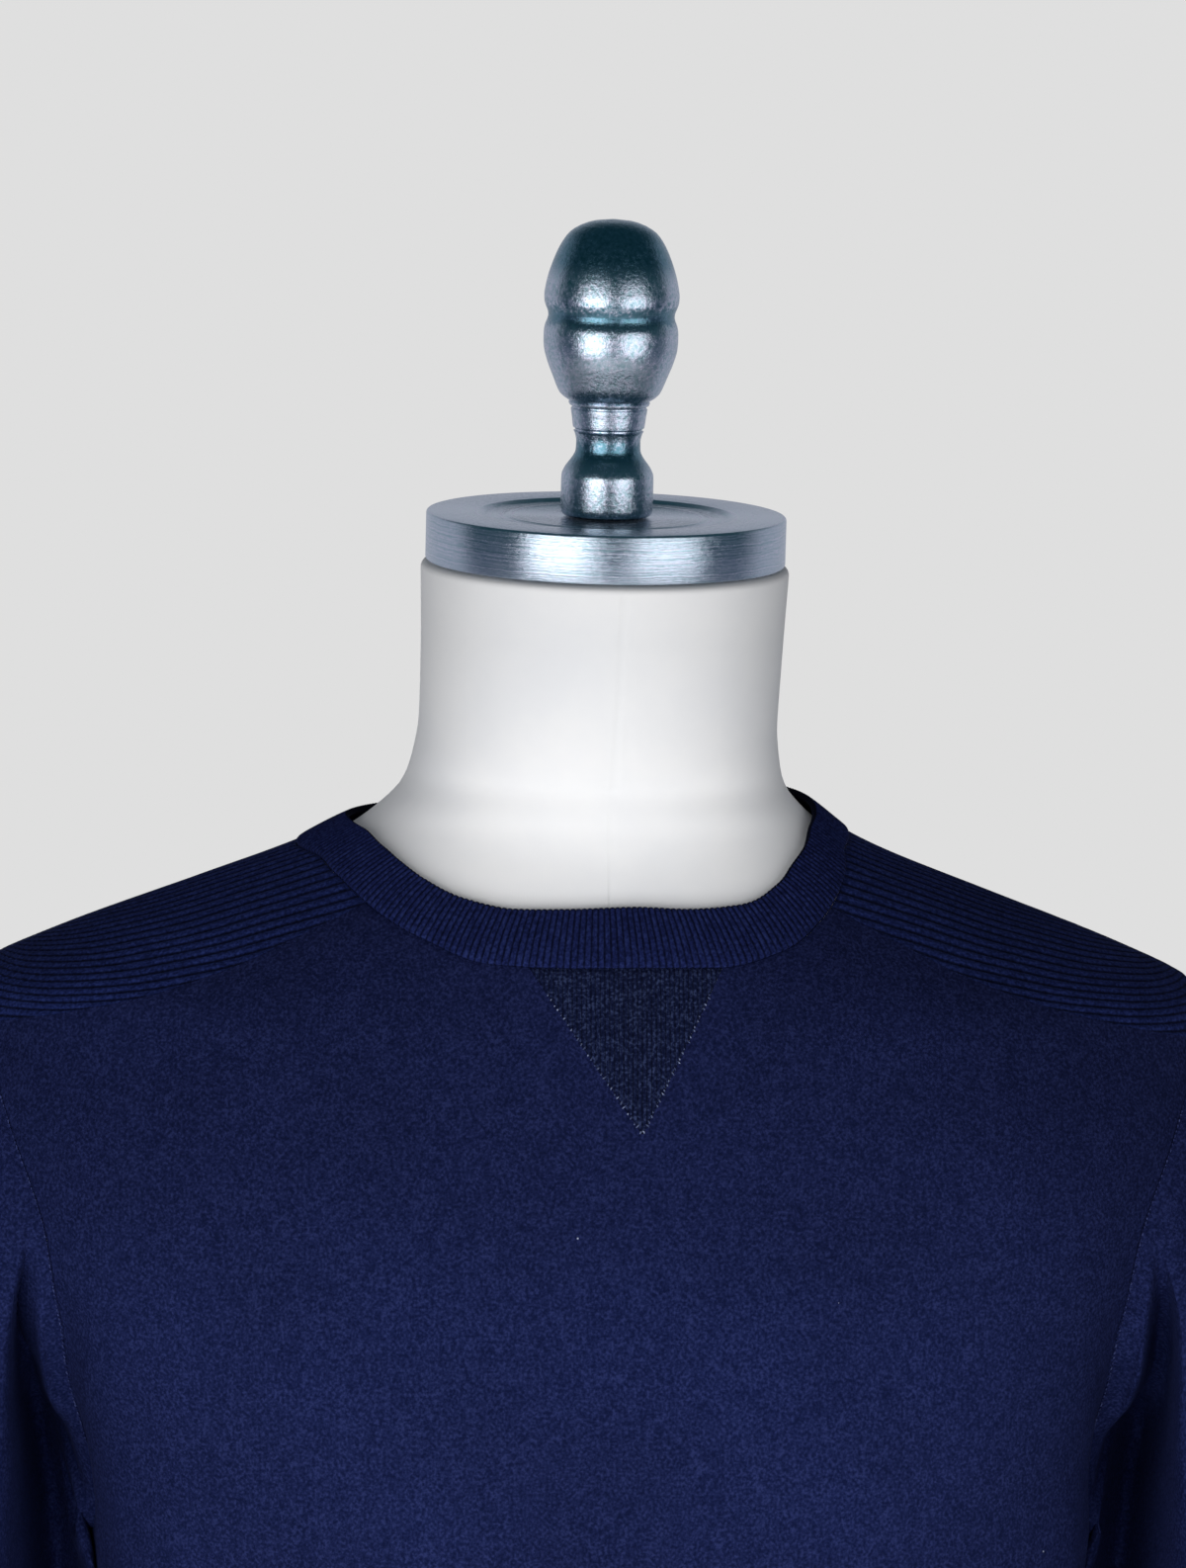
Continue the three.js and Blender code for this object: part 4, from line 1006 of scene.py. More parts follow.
# Neckband: a folded band of one-by-one rib, its ribs fanning out from the seam to the edge
def addNeckband():
    settings = neckbandSizes
    turns = turnAt(np.linspace(0, 4 * quarterLength, settings["ribs"] * settings["perRib"] + 1))
    # even steps of rib need even steps along the seam itself
    seamPoints = bodyPoint(turns, column(neckline, "seam", wrapTurn(turns)))
    walked = lengthAlong(seamPoints)
    turns = np.interp(np.linspace(0, walked[-1], len(turns)), walked, turns)
    print(f"neckband seam: {walked[-1]:.0f} mm, a rib every {walked[-1] / settings['ribs']:.2f} mm")
    seam = column(neckline, "seam", wrapTurn(turns))
    edgeTurns = turns + settings["fan"] * np.sin(np.radians(2 * turns))
    edge = column(neckline, "edge", wrapTurn(edgeTurns))
    half = settings["thickness"] / 2
    middle = settings["outside"] - half
    fold = settings["folds"]
    profile = bandProfile(half, (0.012, 0.03, 0.06, 0.12, 0.2, 0.3, 0.42, 0.55, 0.68, 0.8, 0.9), fold, 18,
                          (0.88, 0.7, 0.5, 0.3, 0.12, 0.012))
    grid, place = [], []
    plain = 0.05 + 0.15 * np.exp(-(turns / 32) ** 4)
    ribs = np.linspace(0, settings["ribs"], len(turns))
    wave = ribWave(ribs, 0.8, 0.5)
    for across, out in profile:
        turn = turns + (edgeTurns - turns) * across
        level = seam + (edge - seam) * across
        walkedHere = walkedAt(turn)
        normal = bodyNormal(walkedHere, level, False)
        crown = settings["crown"] * 4 * across * (1 - across)
        tuck = -0.35 * bell(across, 0.035) if out > 0 else 0
        facing = max(out / half, 0)
        rib = settings["ribHeight"] * wave * (0.25 + 0.75 * facing) * (1 - bell(across, plain))
        push = middle + out + crown + tuck
        point = bodyPoint(turn, level, False) + normal * (push + rib)[..., None]
        if fold < across:
            point[:, 2] += 0.35 * wave * (across - fold) / (1 - fold)
        grid.append(point)
        # the UV map counts millimetres from the seam, and a fixed 30 where the band folds over
        turnedIn = settings["turnedIn"] * (out < half * 0.99)
        place.append((edge - seam) * across * (turnedIn == 0) + turnedIn)
    points = np.array(grid)
    uv = np.stack(np.broadcast_arrays(ribs[None] * ribPitch, np.array(place)), -1)
    piece = clothPiece("rib_neckband", points, uv, finishes["foldedNeckRib"], closed=True)
    finishCloth(piece, "neckband", flat=(0.5, 0.03), angle=75)


addNeckband()
print("neckband is on")


# V under the neckband: links stitch in fine upright ribs, with a fuzzy line of linking along both slants
insertSizes = {"thickness": 1.1, "gap": 0.06, "height": 0.24, "columns": 200, "rows": 60, "blunt": 0.6}


def vEdges(level):
    climb = (level - vShape["pointLevel"]) / (vShape["topLevel"] - vShape["pointLevel"])
    left = vShape["pointAcross"] + (vShape["topLeft"] - vShape["pointAcross"]) * climb
    right = vShape["pointAcross"] + (vShape["topRight"] - vShape["pointAcross"]) * climb
    return left, right


def turnAcross(across, level):
    share = across / section("halfWidth", level)
    return np.degrees(np.arcsin(np.clip(signedPower(share, section("flat", level) / 2), -1, 1)))


# Linking stitches: short loops of yarn that lie on a seam, a little uneven
def stitchLine(name, spots, sizes, finish):
    # Each spot is a place, the way out of the cloth, a turn on it in degrees and a size
    loops = []
    for point, normal, lean, size in spots:
        bpy.ops.mesh.primitive_ico_sphere_add(subdivisions=1, radius=1)
        loop = bpy.context.object
        loop.scale = (sizes["width"] / 2 * mm, sizes["length"] * size / 2 * mm, sizes["height"] * mm)
        axes = Vector(normal).to_track_quat("Z", "Y").to_matrix()
        loop.rotation_euler = (axes @ Matrix.Rotation(math.radians(lean), 3, "Z")).to_euler()
        loop.location = Vector(point) * mm
        loops.append(loop)
    pick(*loops)
    bpy.ops.object.join()
    piece = bpy.context.object
    piece.name = piece.data.name = name
    bpy.ops.object.transform_apply(location=True, rotation=True, scale=True)
    piece.data.materials.append(finishes[finish])
    pieces[name] = piece
    smooth(piece, 60)
    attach(piece, "root")
    print(name + ":", len(loops), "loops")


# Along both slants of the V the loops lie across the seam, are longest by its point and fade out above
slantStitches = {"pitch": 1.9, "length": 1.6, "width": 0.6, "height": 0.35, "lean": 28, "run": 0.86,
                 "shorter": 0.45}


def addSlantStitches():
    spots = []
    for slant, (topAcross, turned) in enumerate(((vShape["topLeft"], -1), (vShape["topRight"], 1))):
        run = topAcross - vShape["pointAcross"]
        rise = vShape["topLevel"] - vShape["pointLevel"]
        long = math.hypot(run, rise)
        for i in range(round(long * slantStitches["run"] / slantStitches["pitch"])):
            uneven = math.sin(7.3 * i + slant) * math.sin(2.1 * i)
            share = (i + 0.5 + 0.3 * uneven) * slantStitches["pitch"] / long
            level = vShape["pointLevel"] + rise * share
            turn = turnAcross(vShape["pointAcross"] + run * share + 0.25 * uneven, level)
            normal = bodyNormal(walkedAt(turn), level)
            spots.append((bodyPoint(turn, level) + 0.1 * normal, normal,
                          turned * (slantStitches["lean"] + 25 * uneven),
                          1 - slantStitches["shorter"] * share + 0.35 * uneven))
    stitchLine("linking_stitches", spots, slantStitches, "linkingFuzz")


addSlantStitches()


def addInsert():
    settings = insertSizes
    u = np.linspace(0, 1, settings["columns"] + 1)[None]
    v = crowded(settings["rows"], "end", 0.004, 0.01, 0.018)[:, None]
    foot = vShape["pointLevel"] + settings["blunt"]
    level = foot + 0 * u + (vShape["topLevel"] + 0.5 - foot) * v
    for _ in range(3):  # the top row follows the neckband seam
        left, right = vEdges(level)
        across = left + settings["gap"] + (right - left - 2 * settings["gap"]) * u
        turn = turnAcross(across, level)
        seam = column(neckline, "seam", turn[-1])[None]
        level = foot + (seam - foot) * v
    points = bodyPoint(turn, level)
    normals = bodyNormal(walkedAt(turn), level)
    edges = walkedGrid(points)
    beside = np.minimum(edges["start"], edges["end"])
    heights = settings["height"] * ribWave(across / linkPitch, 0.9, 0.5) * (1 - bell(beside, 1.0))
    heights = heights - 0.3 * bell(beside, 0.7) - 0.55 * bell(edges["top"], 1.2)
    uv = np.stack([across, level], -1)
    points = toSeams(points, settings["gap"], "top")
    piece = clothPiece("links_insert", points, uv, finishes["linksStitch"])
    thicken(piece, settings["thickness"], heights, normals)
    finishCloth(piece, "neck_insert", flat=(0.064, 0.053), area=0.0017)


addInsert()
print("insert is in")


# Hem ribs: one on the front and one on the back, drawn in slightly by their rib
hemSizes = {"perRib": 4, "height": 0.4, "thickness": 1.8, "rows": 12, "raised": 0.3, "gap": 0.12}


def hemRib(behind):
    settings = hemSizes
    centre = 2 * quarterLength if behind else 0
    ribs = round(2 * quarterLength / ribPitch)
    across = np.linspace(centre - quarterLength, centre + quarterLength, ribs * settings["perRib"] + 1)[None]
    v = crowded(settings["rows"], "start end", 0.012, 0.03)[:, None]
    level = levels["hemBottom"] + (levels["hemTop"] - levels["hemBottom"]) * v + 0 * across
    points = bodyPoint(turnAt(across), level)
    normals = bodyNormal(across + 0 * level, level)
    edges = walkedGrid(points)
    points = toSeams(points + settings["raised"] * normals, settings["gap"])
    count = np.linspace(0, ribs, across.size)[None]
    heights = settings["height"] * ribWave(count, 0.7, 0.6) * (1 - 0.8 * bell(edges["top"], 1.5))
    heights = heights - 0.6 * bell(edges["top"], 1.0) - 0.5 * bell(edges["bottom"], 0.8)
    uv = np.stack([count * ribPitch + 0 * level, level], -1)
    name = "back" if behind else "front"
    piece = clothPiece(f"rib_hem_{name}", points, uv, finishes["oneByOneRib"])
    thicken(piece, settings["thickness"], heights, normals)
    finishCloth(piece, f"hem_rib_{name}", flat=(0.46, 0.06), angle=75)


hemRib(False)
hemRib(True)
print("hem ribs are on")


# ---- sleeves

# How a sleeve leaves the armhole: the place on the hanging ring that it comes down to, its first
# direction (out, back, down), and how far both ends run straight
sleeveHead = table(
    "around ring out back down reach drop",
    (0, 0, 0.87, 0, 0.5, 120, 240),
    (36, 52, 0.85, 0.05, 0.5, 110, 230),
    (60, 84, 0.85, 0.15, 0.45, 90, 215),
    (84, 116, 0.9, 0.1, 0.4, 66, 205),
    (100, 137, 0.9, 0.25, 0.3, 46, 195),
    (116, 158, 0.65, 0.7, 0.2, 44, 185),
    (148, 170, 0.85, 0.5, 0, 36, 175),
    (180, 180, 1, 0, -0.1, 32, 170),
)
# Sections of the hanging arm: how far out its two sides lie, its depth to the front and to the back, and
# how far it is moved back (below 0 it is moved forwards)
sleeveSections = table(
    "level inner outer front back shift",
    (-682, 195, 234, 43, 43, -24),
    (-620, 194, 237, 49, 50, -20),
    (-540, 193, 241, 58, 60, -14),
    (-470, 192, 244, 65, 67, -8),
    (-400, 192, 249, 72, 73, -3),
    (-330, 193, 251, 77, 77, 0),
)
# The deep fold where a sleeve's front turns in beside the body: how far out its two sides lie, how deep
# it goes, and how wide a rim of cloth stays up beside the seam. Right sleeve (-1) and left sleeve (1)
frontFolds = {
    -1: table(
        "level inner outer depth rim",
        (-420, 154, 187, 0, 1.2), (-330, 150, 187, 84, 1.2), (-262, 150, 187.5, 95, 1.2),
        (-235, 153, 189, 95, 1.2), (-218, 165, 190.5, 86, 1.3), (-201, 176.5, 192.4, 70, 1.8),
        (-193, 182.4, 193.8, 60, 3.5), (-185, 185, 194.6, 50, 5), (-168, 187, 195, 36, 5),
        (-151, 187.6, 194, 20, 5), (-137, 187.4, 192, 6, 5), (-122, 186.4, 190, 0, 5),
    ),
    1: table(
        "level inner outer depth rim",
        (-420, 154, 192, 0, 1.2), (-330, 150, 192, 84, 1.2), (-262, 150, 193, 95, 1.2),
        (-235, 153, 194.4, 95, 1.2), (-218, 165, 195.6, 86, 1.3), (-201, 179, 197, 70, 1.8),
        (-193, 185, 197.6, 60, 3.5), (-185, 188, 198, 50, 5), (-168, 189.6, 198.4, 36, 5),
        (-151, 189.8, 197.6, 20, 5), (-137, 189.8, 195, 6, 5), (-122, 188.8, 192, 0, 5),
    ),
}
foldTuck = {-1: 0.03, 1: 0.15}  # each one leans outwards as it goes in
foldSizes = {"starts": -10, "full": -45, "pushed": 3}  # only cloth this far in front is pushed back
# Creases of a sleeve: place round the sleeve in mm from its outer side (front is positive), level,
# half length, half width, lift and lean
sleeveCreases = table(
    "across level length width lift lean",
    (60, -352, 16, 52, -3.0, 12), (48, -386, 14, 58, 2.6, -8), (70, -418, 15, 46, -3.2, 10),
    (40, -452, 20, 40, 2.0, -14), (-70, -372, 20, 46, -2.2, -12), (-60, -430, 18, 50, 2.2, 10),
    (90, -560, 13, 40, -2.0, -9), (70, -590, 10, 48, 2.0, 6), (10, -600, 9, 50, -1.8, -4),
    (-60, -585, 11, 46, 2.0, 7), (-90, -560, 13, 40, -2.2, -8), (0, -500, 70, 24, 1.4, 4),
    (-20, -250, 110, 28, 1.3, 6), (40, -220, 90, 22, -1.2, -8),
)
# Places round a sleeve (degrees of its ring) between which it comes to rest on the body, in front and
# behind, and the levels over which it comes to clear the body all round
sleeveSizes = {"thickness": 1.2, "gap": 0.1, "square": 3.2, "bodyClear": 2, "headRows": 64, "armRows": 72,
               "restFront": (150, 172), "restBack": (100, 140), "clearBelow": (-225, -245),
               "measured": -400.0, "creasesFrom": 40, "seamBlend": 5, "hemSink": 0.5}


def sleeveRing(place, level):
    inner, outer = column(sleeveSections, "inner", level), column(sleeveSections, "outer", level)
    sine, cosine = np.sin(np.radians(place)), np.cos(np.radians(place))
    depth = np.where(sine > 0, column(sleeveSections, "front", level), column(sleeveSections, "back", level))
    square = 2 / sleeveSizes["square"]
    x = (inner + outer) / 2 + (outer - inner) / 2 * signedPower(cosine, square)
    y = column(sleeveSections, "shift", level) - depth * signedPower(sine, square)
    return np.stack(np.broadcast_arrays(x, y, shoulderHeight + level), -1)


def ringPlace(around):
    place = wrapTurn(around)
    return np.where(place < 0, -1, 1) * column(sleeveHead, "ring", np.abs(place))


def sleeveHeadPoint(around, along, side):
    place = wrapTurn(around)
    ahead = np.where(place < 0, -1, 1)
    value = {name: column(sleeveHead, name, np.abs(place)) for name in sleeveHead if name != "around"}
    seam = armholeSeam(around)
    start = bodyPoint(turnAt(side * seam[..., 0]), seam[..., 1]) * [side, 1, 1]
    finish = sleeveRing(ahead * value["ring"], float(levels["sleeveStraight"]))
    leave = np.stack([value["out"], ahead * value["back"], -value["down"]], -1)
    leave *= (value["reach"] / np.linalg.norm(leave, axis=-1))[..., None]
    drop = np.stack([0 * value["drop"], 0 * value["drop"], -value["drop"]], -1)
    t = along[..., None]
    return ((1 + 2 * t) * (1 - t) ** 2 * start + t * (1 - t) ** 2 * leave
            + t * t * (3 - 2 * t) * finish + t * t * (t - 1) * drop)


def bodySide(back, level, side):
    # How far out the body's side lies, for a place so far back
    back = back - section("lean", level)
    depth = np.where(back < 0, section("front", level), section("back", level))
    share = np.clip(np.abs(back) / depth, 0, 1)
    out = section("halfWidth", level) * (1 - share ** section("side", level)) ** (1 / section("flat", level))
    out = out + side * column(bodyAside, "aside", level)
    return out + creaseLift(bodyCreases, side * (quarterLength + back), level, 4 * quarterLength)


def nearestOut(points, beside, side):
    # How far in a sleeve may come before it touches the body
    clear = sleeveSizes["bodyClear"] * (1 - bell(beside, 6))
    return bodySide(points[..., 1], points[..., 2] - shoulderHeight, side) + clear


def restOnBody(points, around, beside, side):
    # The inner side of a sleeve hangs against the body down to the sleeve's end, apart from its front edge
    ring = ringPlace(around)
    leans = np.where(ring > 0, easy(ring, *sleeveSizes["restFront"]), easy(-ring, *sleeveSizes["restBack"]))
    nearest = nearestOut(points, beside, side)
    leans = leans * (1 - bell(beside, 12))
    out = points[..., 0] + leans * (nearest - points[..., 0])
    low = easy(points[..., 2] - shoulderHeight, *sleeveSizes["clearBelow"])
    points[..., 0] = np.where(out < nearest, out + low * (nearest - out), out)


def foldIn(points, around, beside, side):
    # The fold beside the body is pushed straight back from the front
    level = points[..., 2] - shoulderHeight
    fold = {name: column(frontFolds[side], name, level) for name in ("inner", "outer", "depth", "rim")}
    across = (2 * points[..., 0] - fold["inner"] - fold["outer"]) / (fold["outer"] - fold["inner"])
    inFront = easy(points[..., 1], foldSizes["starts"], foldSizes["full"]) * (wrapTurn(around) > 0)
    inFront = inFront * (1 - bell(beside, fold["rim"]))
    push = inFront * fold["depth"] * np.exp(-np.abs(across) ** 4)
    points[..., 0] += foldTuck[side] * push
    points[..., 1] += push
    nearest = nearestOut(points, beside, side)
    kept = np.maximum(points[..., 0], nearest)
    points[..., 0] = np.where(push > foldSizes["pushed"], kept, points[..., 0])


def sleeveArounds():
    # Places round the armhole, closest together where the fold is
    front = np.concatenate([np.linspace(0, 36, 12)[:-1], np.linspace(36, 80, 15)[:-1],
                            np.linspace(80, 132, 38)[:-1], np.linspace(132, 180, 16)])
    back = np.concatenate([np.linspace(180, 300, 34)[1:], np.linspace(300, 360, 17)[1:]])
    return np.concatenate([front, back])


def addSleeve(side):
    settings = sleeveSizes
    around = sleeveArounds()[None]
    along = np.linspace(0, 1, settings["headRows"] + 1)[:, None] ** 1.35
    head = sleeveHeadPoint(around + 0 * along, along + 0 * around, side)
    down = np.linspace(levels["sleeveStraight"], levels["cuffTop"], settings["armRows"] + 1)[1:, None]
    arm = sleeveRing(ringPlace(around) + 0 * down, down + 0 * around)
    points = np.concatenate([head, arm])
    beside = walkedGrid(points)["bottom"]
    restOnBody(points, around, beside, side)
    foldIn(points, around, beside, side)
    edges = walkedGrid(points)
    normals = ringNormals(points)
    seam = armholeSeam(around[0])
    atSeam = bodyNormal(side * seam[..., 0], seam[..., 1]) * [side, 1, 1]
    near = bell(edges["bottom"], settings["seamBlend"])[..., None]
    normals = normals * (1 - near) + atSeam * near
    normals /= np.linalg.norm(normals, axis=-1, keepdims=True)
    ring = lengthAlong(sleeveRing(ringPlace(around), settings["measured"])[0])
    across = np.broadcast_to(ring, points.shape[:2])
    lift = creaseLift(sleeveCreases, across, points[..., 2] - shoulderHeight, ring[-1])
    lift = lift * (1 - bell(edges["bottom"], settings["creasesFrom"]))
    roll = armValley["lip"] * bell(edges["bottom"] - armValley["lipPlace"], 1.3)
    roll = roll - (0.3 + valleyAt(around)) * bell(edges["bottom"], armValley["sleeveWidth"])
    roll = roll - settings["hemSink"] * bell(edges["top"], 1.2)
    points = points + normals * (lift + roll)[..., None]
    points[:, -1] = points[:, 0]
    points = toSeams(points, settings["gap"], "bottom top")
    points[:, -1] = points[:, 0]
    uv = np.stack([across, -edges["bottom"]], -1)
    points[..., 0] *= side
    if side < 0:
        points, uv = points[:, ::-1], uv[:, ::-1]
    name = sideNames[side]
    piece = clothPiece(f"set_in_sleeve_{name}", points, uv, finishes["finegaugeJersey"], closed=True)
    thicken(piece, settings["thickness"])
    finishCloth(piece, f"sleeve_{name}", flat=(0.36, 0.6), area=0.165)


# A fine thread line shows on the seam at the front of each armhole
armStitches = {"from": 54, "to": 131, "step": 1.05, "length": 1.5, "width": 0.45, "height": 0.32,
               "raised": 0.05, "inValley": 0.9}


def addArmStitches(side):
    settings = armStitches
    around = np.arange(settings["from"], settings["to"], settings["step"])
    around = around + 0.2 * np.sin(5.1 * np.arange(len(around)))
    seam = armholeSeam(around)
    turns = turnAt(side * seam[:, 0])
    normals = bodyNormal(side * seam[:, 0], seam[:, 1])
    out = settings["raised"] - settings["inValley"] * valleyAt(around)
    points = bodyPoint(turns, seam[:, 1]) + normals * out[:, None]
    steps = np.gradient(points, axis=0)
    leans = np.degrees(np.arctan2(steps[:, 0], steps[:, 2]))
    sizes = 1 + 0.25 * np.sin(2.7 * np.arange(len(around)))
    name = sideNames[side]
    spots = list(zip(points, normals, -leans, sizes))
    stitchLine(f"arm_linking_{name}", spots, settings, "armThread")


addArmStitches(1)
addArmStitches(-1)
addSleeve(1)
addSleeve(-1)
print("sleeves are set in")


cuffSizes = {"ribs": 84, "perRib": 5, "height": 0.4, "outside": 0.5, "thickness": 2.2, "folds": 0.97,
             "measured": -650.0}


def addCuff(side):
    settings = cuffSizes
    fine = np.linspace(-180, 180, 1441)
    walked = lengthAlong(sleeveRing(fine, settings["measured"]))
    place = np.interp(np.linspace(0, walked[-1], settings["ribs"] * settings["perRib"] + 1), walked, fine)
    ribs = np.linspace(0, settings["ribs"], len(place))
    wave = ribWave(ribs, 0.7, 0.6)
    half = settings["thickness"] / 2
    height = levels["cuffTop"] - cuffBottom
    profile = bandProfile(half, (0.012, 0.03, 0.08, 0.18, 0.3, 0.45, 0.6, 0.75, 0.88), settings["folds"], 30,
                          (0.85, 0.6, 0.35, 0.1, 0.012))
    grid = []
    for down, out in profile:
        ring = sleeveRing(place, levels["cuffTop"] - height * down)
        aside = np.gradient(ring, axis=0)
        normal = np.cross(aside, [0, 0, -1.0])
        normal /= np.linalg.norm(normal, axis=-1, keepdims=True)
        facing = max(out / half, 0)
        atSeam = bell(down, 0.03)
        tuck = -0.6 * atSeam if out > 0 else 0
        rib = settings["height"] * wave * (0.2 + 0.8 * facing) * (1 - 0.8 * atSeam)
        grid.append(ring + normal * (settings["outside"] - half + out + tuck + rib)[..., None])
    points = np.array(grid)
    points[:, -1] = points[:, 0]
    uv = np.stack(np.broadcast_arrays(ribs[None] * ribPitch, lengthAlong(points[:, 0])[:, None]), -1)
    points[..., 0] *= side
    if side < 0:
        points = points[:, ::-1]
    name = sideNames[side]
    piece = clothPiece(f"rib_cuff_{name}", points, uv, finishes["oneByOneRib"], closed=True)
    finishCloth(piece, f"cuff_{name}", flat=(0.19, 0.066), angle=75)


addCuff(1)
addCuff(-1)
print("cuffs are on")


# ---- the form and its stand

# Top of the neck, 18 mm forward, and how far it nods
neckAxis = {"foot": (sidewaysLean * 18 * mm, -18 * mm, (shoulderHeight + 99.1) * mm), "nod": 3.3}
# How far the form lies inside the cloth's own surface
formEase = table(
    "level ease",
    (-700, 9), (-600, 10), (-500, 17), (-400, 24), (-300, 13), (-240, 9), (-70, 9), (-50, 6), (-28, 3.6),
    (-8, 2.6), (10, 3), (98, 3),
)
formSizes = {"seamDepth": 0.35, "seamWidth": 0.55, "seamAcross": 2.5, "seamSlant": 0.02, "edge": 2.6,
             "turnsOver": 2.4, "neckFrom": (22, 28)}


def addForm():
    neckTop, edge = levels["neckTop"], formSizes["edge"]
    besideSeam = np.linspace(-8, 8, 65)
    walked = np.unique(np.concatenate([np.linspace(-2 * quarterLength, 2 * quarterLength, 181), besideSeam]))
    rows = np.concatenate([np.linspace(levels["formBottom"], -60, 60)[:-1], np.linspace(-60, 30, 46)[:-1],
                           np.linspace(30, neckTop - edge, 22)[:-1],
                           neckTop - edge * np.cos(np.linspace(0, math.pi / 2, 7))])[:, None]
    level = rows + 0 * walked
    turn = turnAt(walked)[None] + 0 * level
    normals = bodyNormal(walked[None] + 0 * level, level, False)
    # inwards is level on the neck and below the arms, and square to the surface between them
    start, end = formSizes["neckFrom"]
    onNeck = np.clip((level - start) / (end - start), 0, 1)[..., None]
    flatNormals = normals * [1, 1, 0]
    flatNormals /= np.linalg.norm(flatNormals, axis=-1, keepdims=True)
    below = (level < levels["underarm"])[..., None]
    normals = np.where(below, flatNormals, normals * (1 - onNeck) + flatNormals * onNeck)
    points = bodyPoint(turn, level, False)
    fromSeam = points[..., 0] - formSizes["seamAcross"] - formSizes["seamSlant"] * level
    groove = formSizes["seamDepth"] * bell(fromSeam, formSizes["seamWidth"]) * (points[..., 1] < 0)
    # the canvas turns over the top edge
    over = np.clip((level - neckTop) / edge + 1, 0, 1)
    ease = column(formEase, "ease", level) + groove + formSizes["turnsOver"] * (1 - np.sqrt(1 - over ** 2))
    points = points - normals * ease[..., None]
    uv = np.stack([walked[None] + 0 * level, level], -1)
    points[:, -1] = points[:, 0]
    piece = clothPiece("canvas_form", points, uv, bleachedCanvas(), closed=True)
    editMesh(piece)
    bpy.ops.mesh.select_mode(type="EDGE")
    bpy.ops.mesh.select_all(action="DESELECT")
    bpy.ops.mesh.select_non_manifold()
    bpy.ops.mesh.edge_face_add()
    bpy.ops.object.mode_set(mode="OBJECT")
    finishHard(piece, "form_body", 40)
    print("form:", len(piece.data.polygons), "faces")


addForm()


def turnedPiece(name, outline, segments, material):
    # Turned as on a lathe: a disc is drawn up ring by ring along the outline
    start = outline[0]
    bpy.ops.mesh.primitive_circle_add(vertices=segments, radius=start[1] * mm, fill_type="NGON",
                                      location=(0, 0, start[0] * mm))
    piece = bpy.context.object
    piece.name = piece.data.name = name
    bpy.ops.object.mode_set(mode="EDIT")
    bpy.ops.mesh.select_all(action="SELECT")
    for (low, radius), (high, nextRadius) in zip(outline, outline[1:]):
        bpy.ops.mesh.extrude_region_move(TRANSFORM_OT_translate={"value": (0, 0, (high - low) * mm)})
        share = nextRadius / radius
        bpy.ops.transform.resize(value=(share, share, 1))
    bpy.ops.mesh.select_all(action="SELECT")
    bpy.ops.mesh.normals_make_consistent(inside=False)
    bpy.ops.object.mode_set(mode="OBJECT")
    piece.data.materials.append(material)
    pieces[name] = piece
    return piece


def placeOnNeck(piece, height):
    nod = math.radians(neckAxis["nod"])
    up = Matrix.Rotation(nod, 3, "X") @ Vector((0, 0, height * mm + piece.location.z))
    piece.rotation_euler = (nod, 0, 0)
    piece.location = Vector(neckAxis["foot"]) + up
    pick(piece)
    bpy.ops.object.transform_apply(location=True, rotation=True, scale=True)


capSizes = {"radius": 61.2, "thickness": 16.6, "bevel": 0.9, "recess": 1.2, "recessRadius": 43,
            "ring": 34.5, "ringHeight": 0.35, "ringWidth": 2.3, "handleLift": 0.3}
# Half outline of the handle, from the cap upwards: height and radius
handleOutline = table(
    "height radius",
    (0, 13.6), (0.5, 14.8), (1.6, 15.5), (3, 15.7), (11.5, 15.7), (14, 15.6), (16.5, 14.6), (18.5, 13.2),
    (20.3, 11.9), (22.5, 11), (25.5, 10.9), (28.3, 11.5), (29, 11.9), (29.3, 11.3), (29.7, 11.3),
    (30.3, 12.1), (34, 12.6), (36.6, 13), (37, 12.6), (37.4, 12.6), (37.9, 13.5), (38.8, 13.8),
    (39.2, 13.5), (39.6, 14.1), (40.6, 15.6), (42, 17), (47.4, 19.4), (52.8, 21.5), (57, 22.6),
    (59.5, 22.8), (62, 22.8), (64, 22.6), (65.2, 22.3), (66.4, 21.8), (67.8, 21.4), (69.2, 21.5),
    (71, 22.2), (73, 22.8), (75, 22.9), (78, 22.5), (82, 21.6), (86, 20.3), (90, 18.7), (93.5, 16.8),
    (96.3, 14.6), (98.6, 11), (100.1, 6.5), (100.7, 1.2),
)


def quarterArc(height, radius, size, angles):
    # Rounded corner of an outline about a centre, from 0 at its side to 90 on top
    return [(height + size * math.sin(math.radians(a)), radius + size * math.cos(math.radians(a)))
            for a in angles]


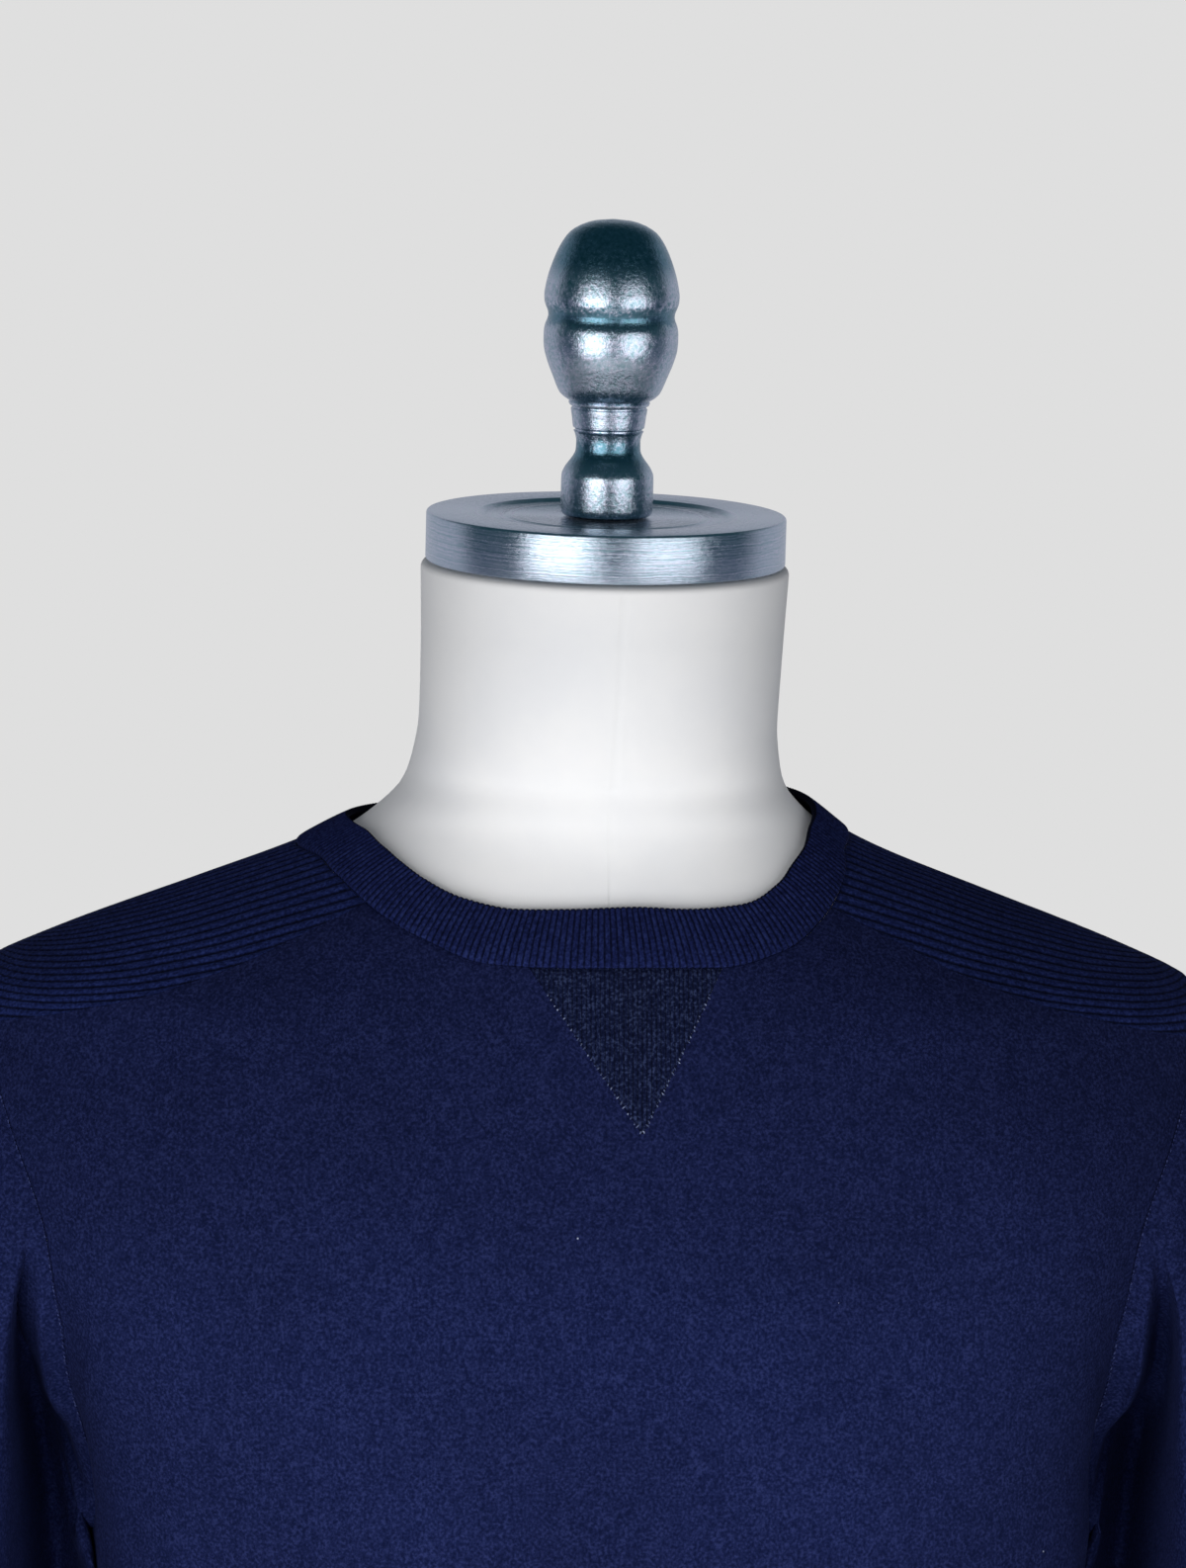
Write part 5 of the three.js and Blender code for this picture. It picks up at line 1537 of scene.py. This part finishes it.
def addMetal():
    edge, lip = capSizes["bevel"], capSizes["recessRadius"]
    top, ring = capSizes["thickness"], capSizes["ring"]
    sunk = top - capSizes["recess"]
    raised = sunk + capSizes["ringHeight"]
    outline = quarterArc(edge, capSizes["radius"] - edge, edge, (-90, -45, 0))
    outline += quarterArc(top - edge, capSizes["radius"] - edge, edge, (0, 30, 60, 90))
    outline += [(top, lip + 0.8), (top - 0.15, lip + 0.2), (sunk + 0.15, lip - 0.9), (sunk, lip - 1.6),
                (sunk, ring), (raised, ring - 0.9), (raised, ring - 1.5),
                (sunk, ring - capSizes["ringWidth"]), (sunk, 2)]
    cap = turnedPiece("turned_cap", outline, 160, turnedSteel("turnedSteel", neckAxis["nod"]))
    placeOnNeck(cap, 0)
    heights = handleOutline["height"]
    fine = np.unique(np.concatenate([np.linspace(0, heights[-1], 90), heights]))
    outline = list(zip(fine, column(handleOutline, "radius", fine)))
    handle = turnedPiece("turned_handle", outline, 96, turnedSteel("pittedSteel", neckAxis["nod"]))
    placeOnNeck(handle, sunk + capSizes["handleLift"])
    finishHard(cap, "neck_cap", 35)
    finishHard(handle, "finial", 35)


addMetal()
print("cap and handle are turned")


standSizes = {"poleRadius": 16, "footRadius": 21, "flangeRadius": 38, "flange": 6, "baseRadius": 170,
              "base": 14, "baseRound": 4, "socketRadius": 40}


def addStand():
    sizes = standSizes
    coat = powderCoat()
    foot, top = (corner.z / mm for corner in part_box("pole"))
    under = top - sizes["flange"]
    outline = [(foot, sizes["footRadius"]), (foot + 5, sizes["footRadius"]),
               (foot + 6, sizes["footRadius"] - 1), (foot + 6.4, sizes["poleRadius"]),
               (under - 3, sizes["poleRadius"]), (under, sizes["poleRadius"] + 3),
               (under + 0.2, sizes["flangeRadius"] - 1), (under + 1.2, sizes["flangeRadius"]),
               (top - 0.5, sizes["flangeRadius"]), (top, sizes["flangeRadius"] - 0.5)]
    pole = turnedPiece("stand_pole", outline, 96, coat)
    height, radius, corner = sizes["base"], sizes["baseRadius"], sizes["baseRound"]
    rim = [(0, radius - 1), (1, radius), (height - corner, radius)]
    rim += quarterArc(height - corner, radius - corner, corner, (20, 45, 70, 90))
    rim += [(height, sizes["socketRadius"]), (height, 2)]
    base = turnedPiece("stand_base", rim, 160, coat)
    for piece, node in ((pole, "pole"), (base, "base")):
        pick(piece)
        bpy.ops.object.transform_apply(location=True, rotation=True, scale=True)
        finishHard(piece, node, 35)


addStand()
print("stand is up")


# ---- count of triangles

triangles = 0
for piece in pieces.values():
    piece.data.calc_loop_triangles()
    count = len(piece.data.loop_triangles)
    triangles += count
    print(f"{piece.name}: {count} triangles")
print("all pieces:", triangles, "triangles")
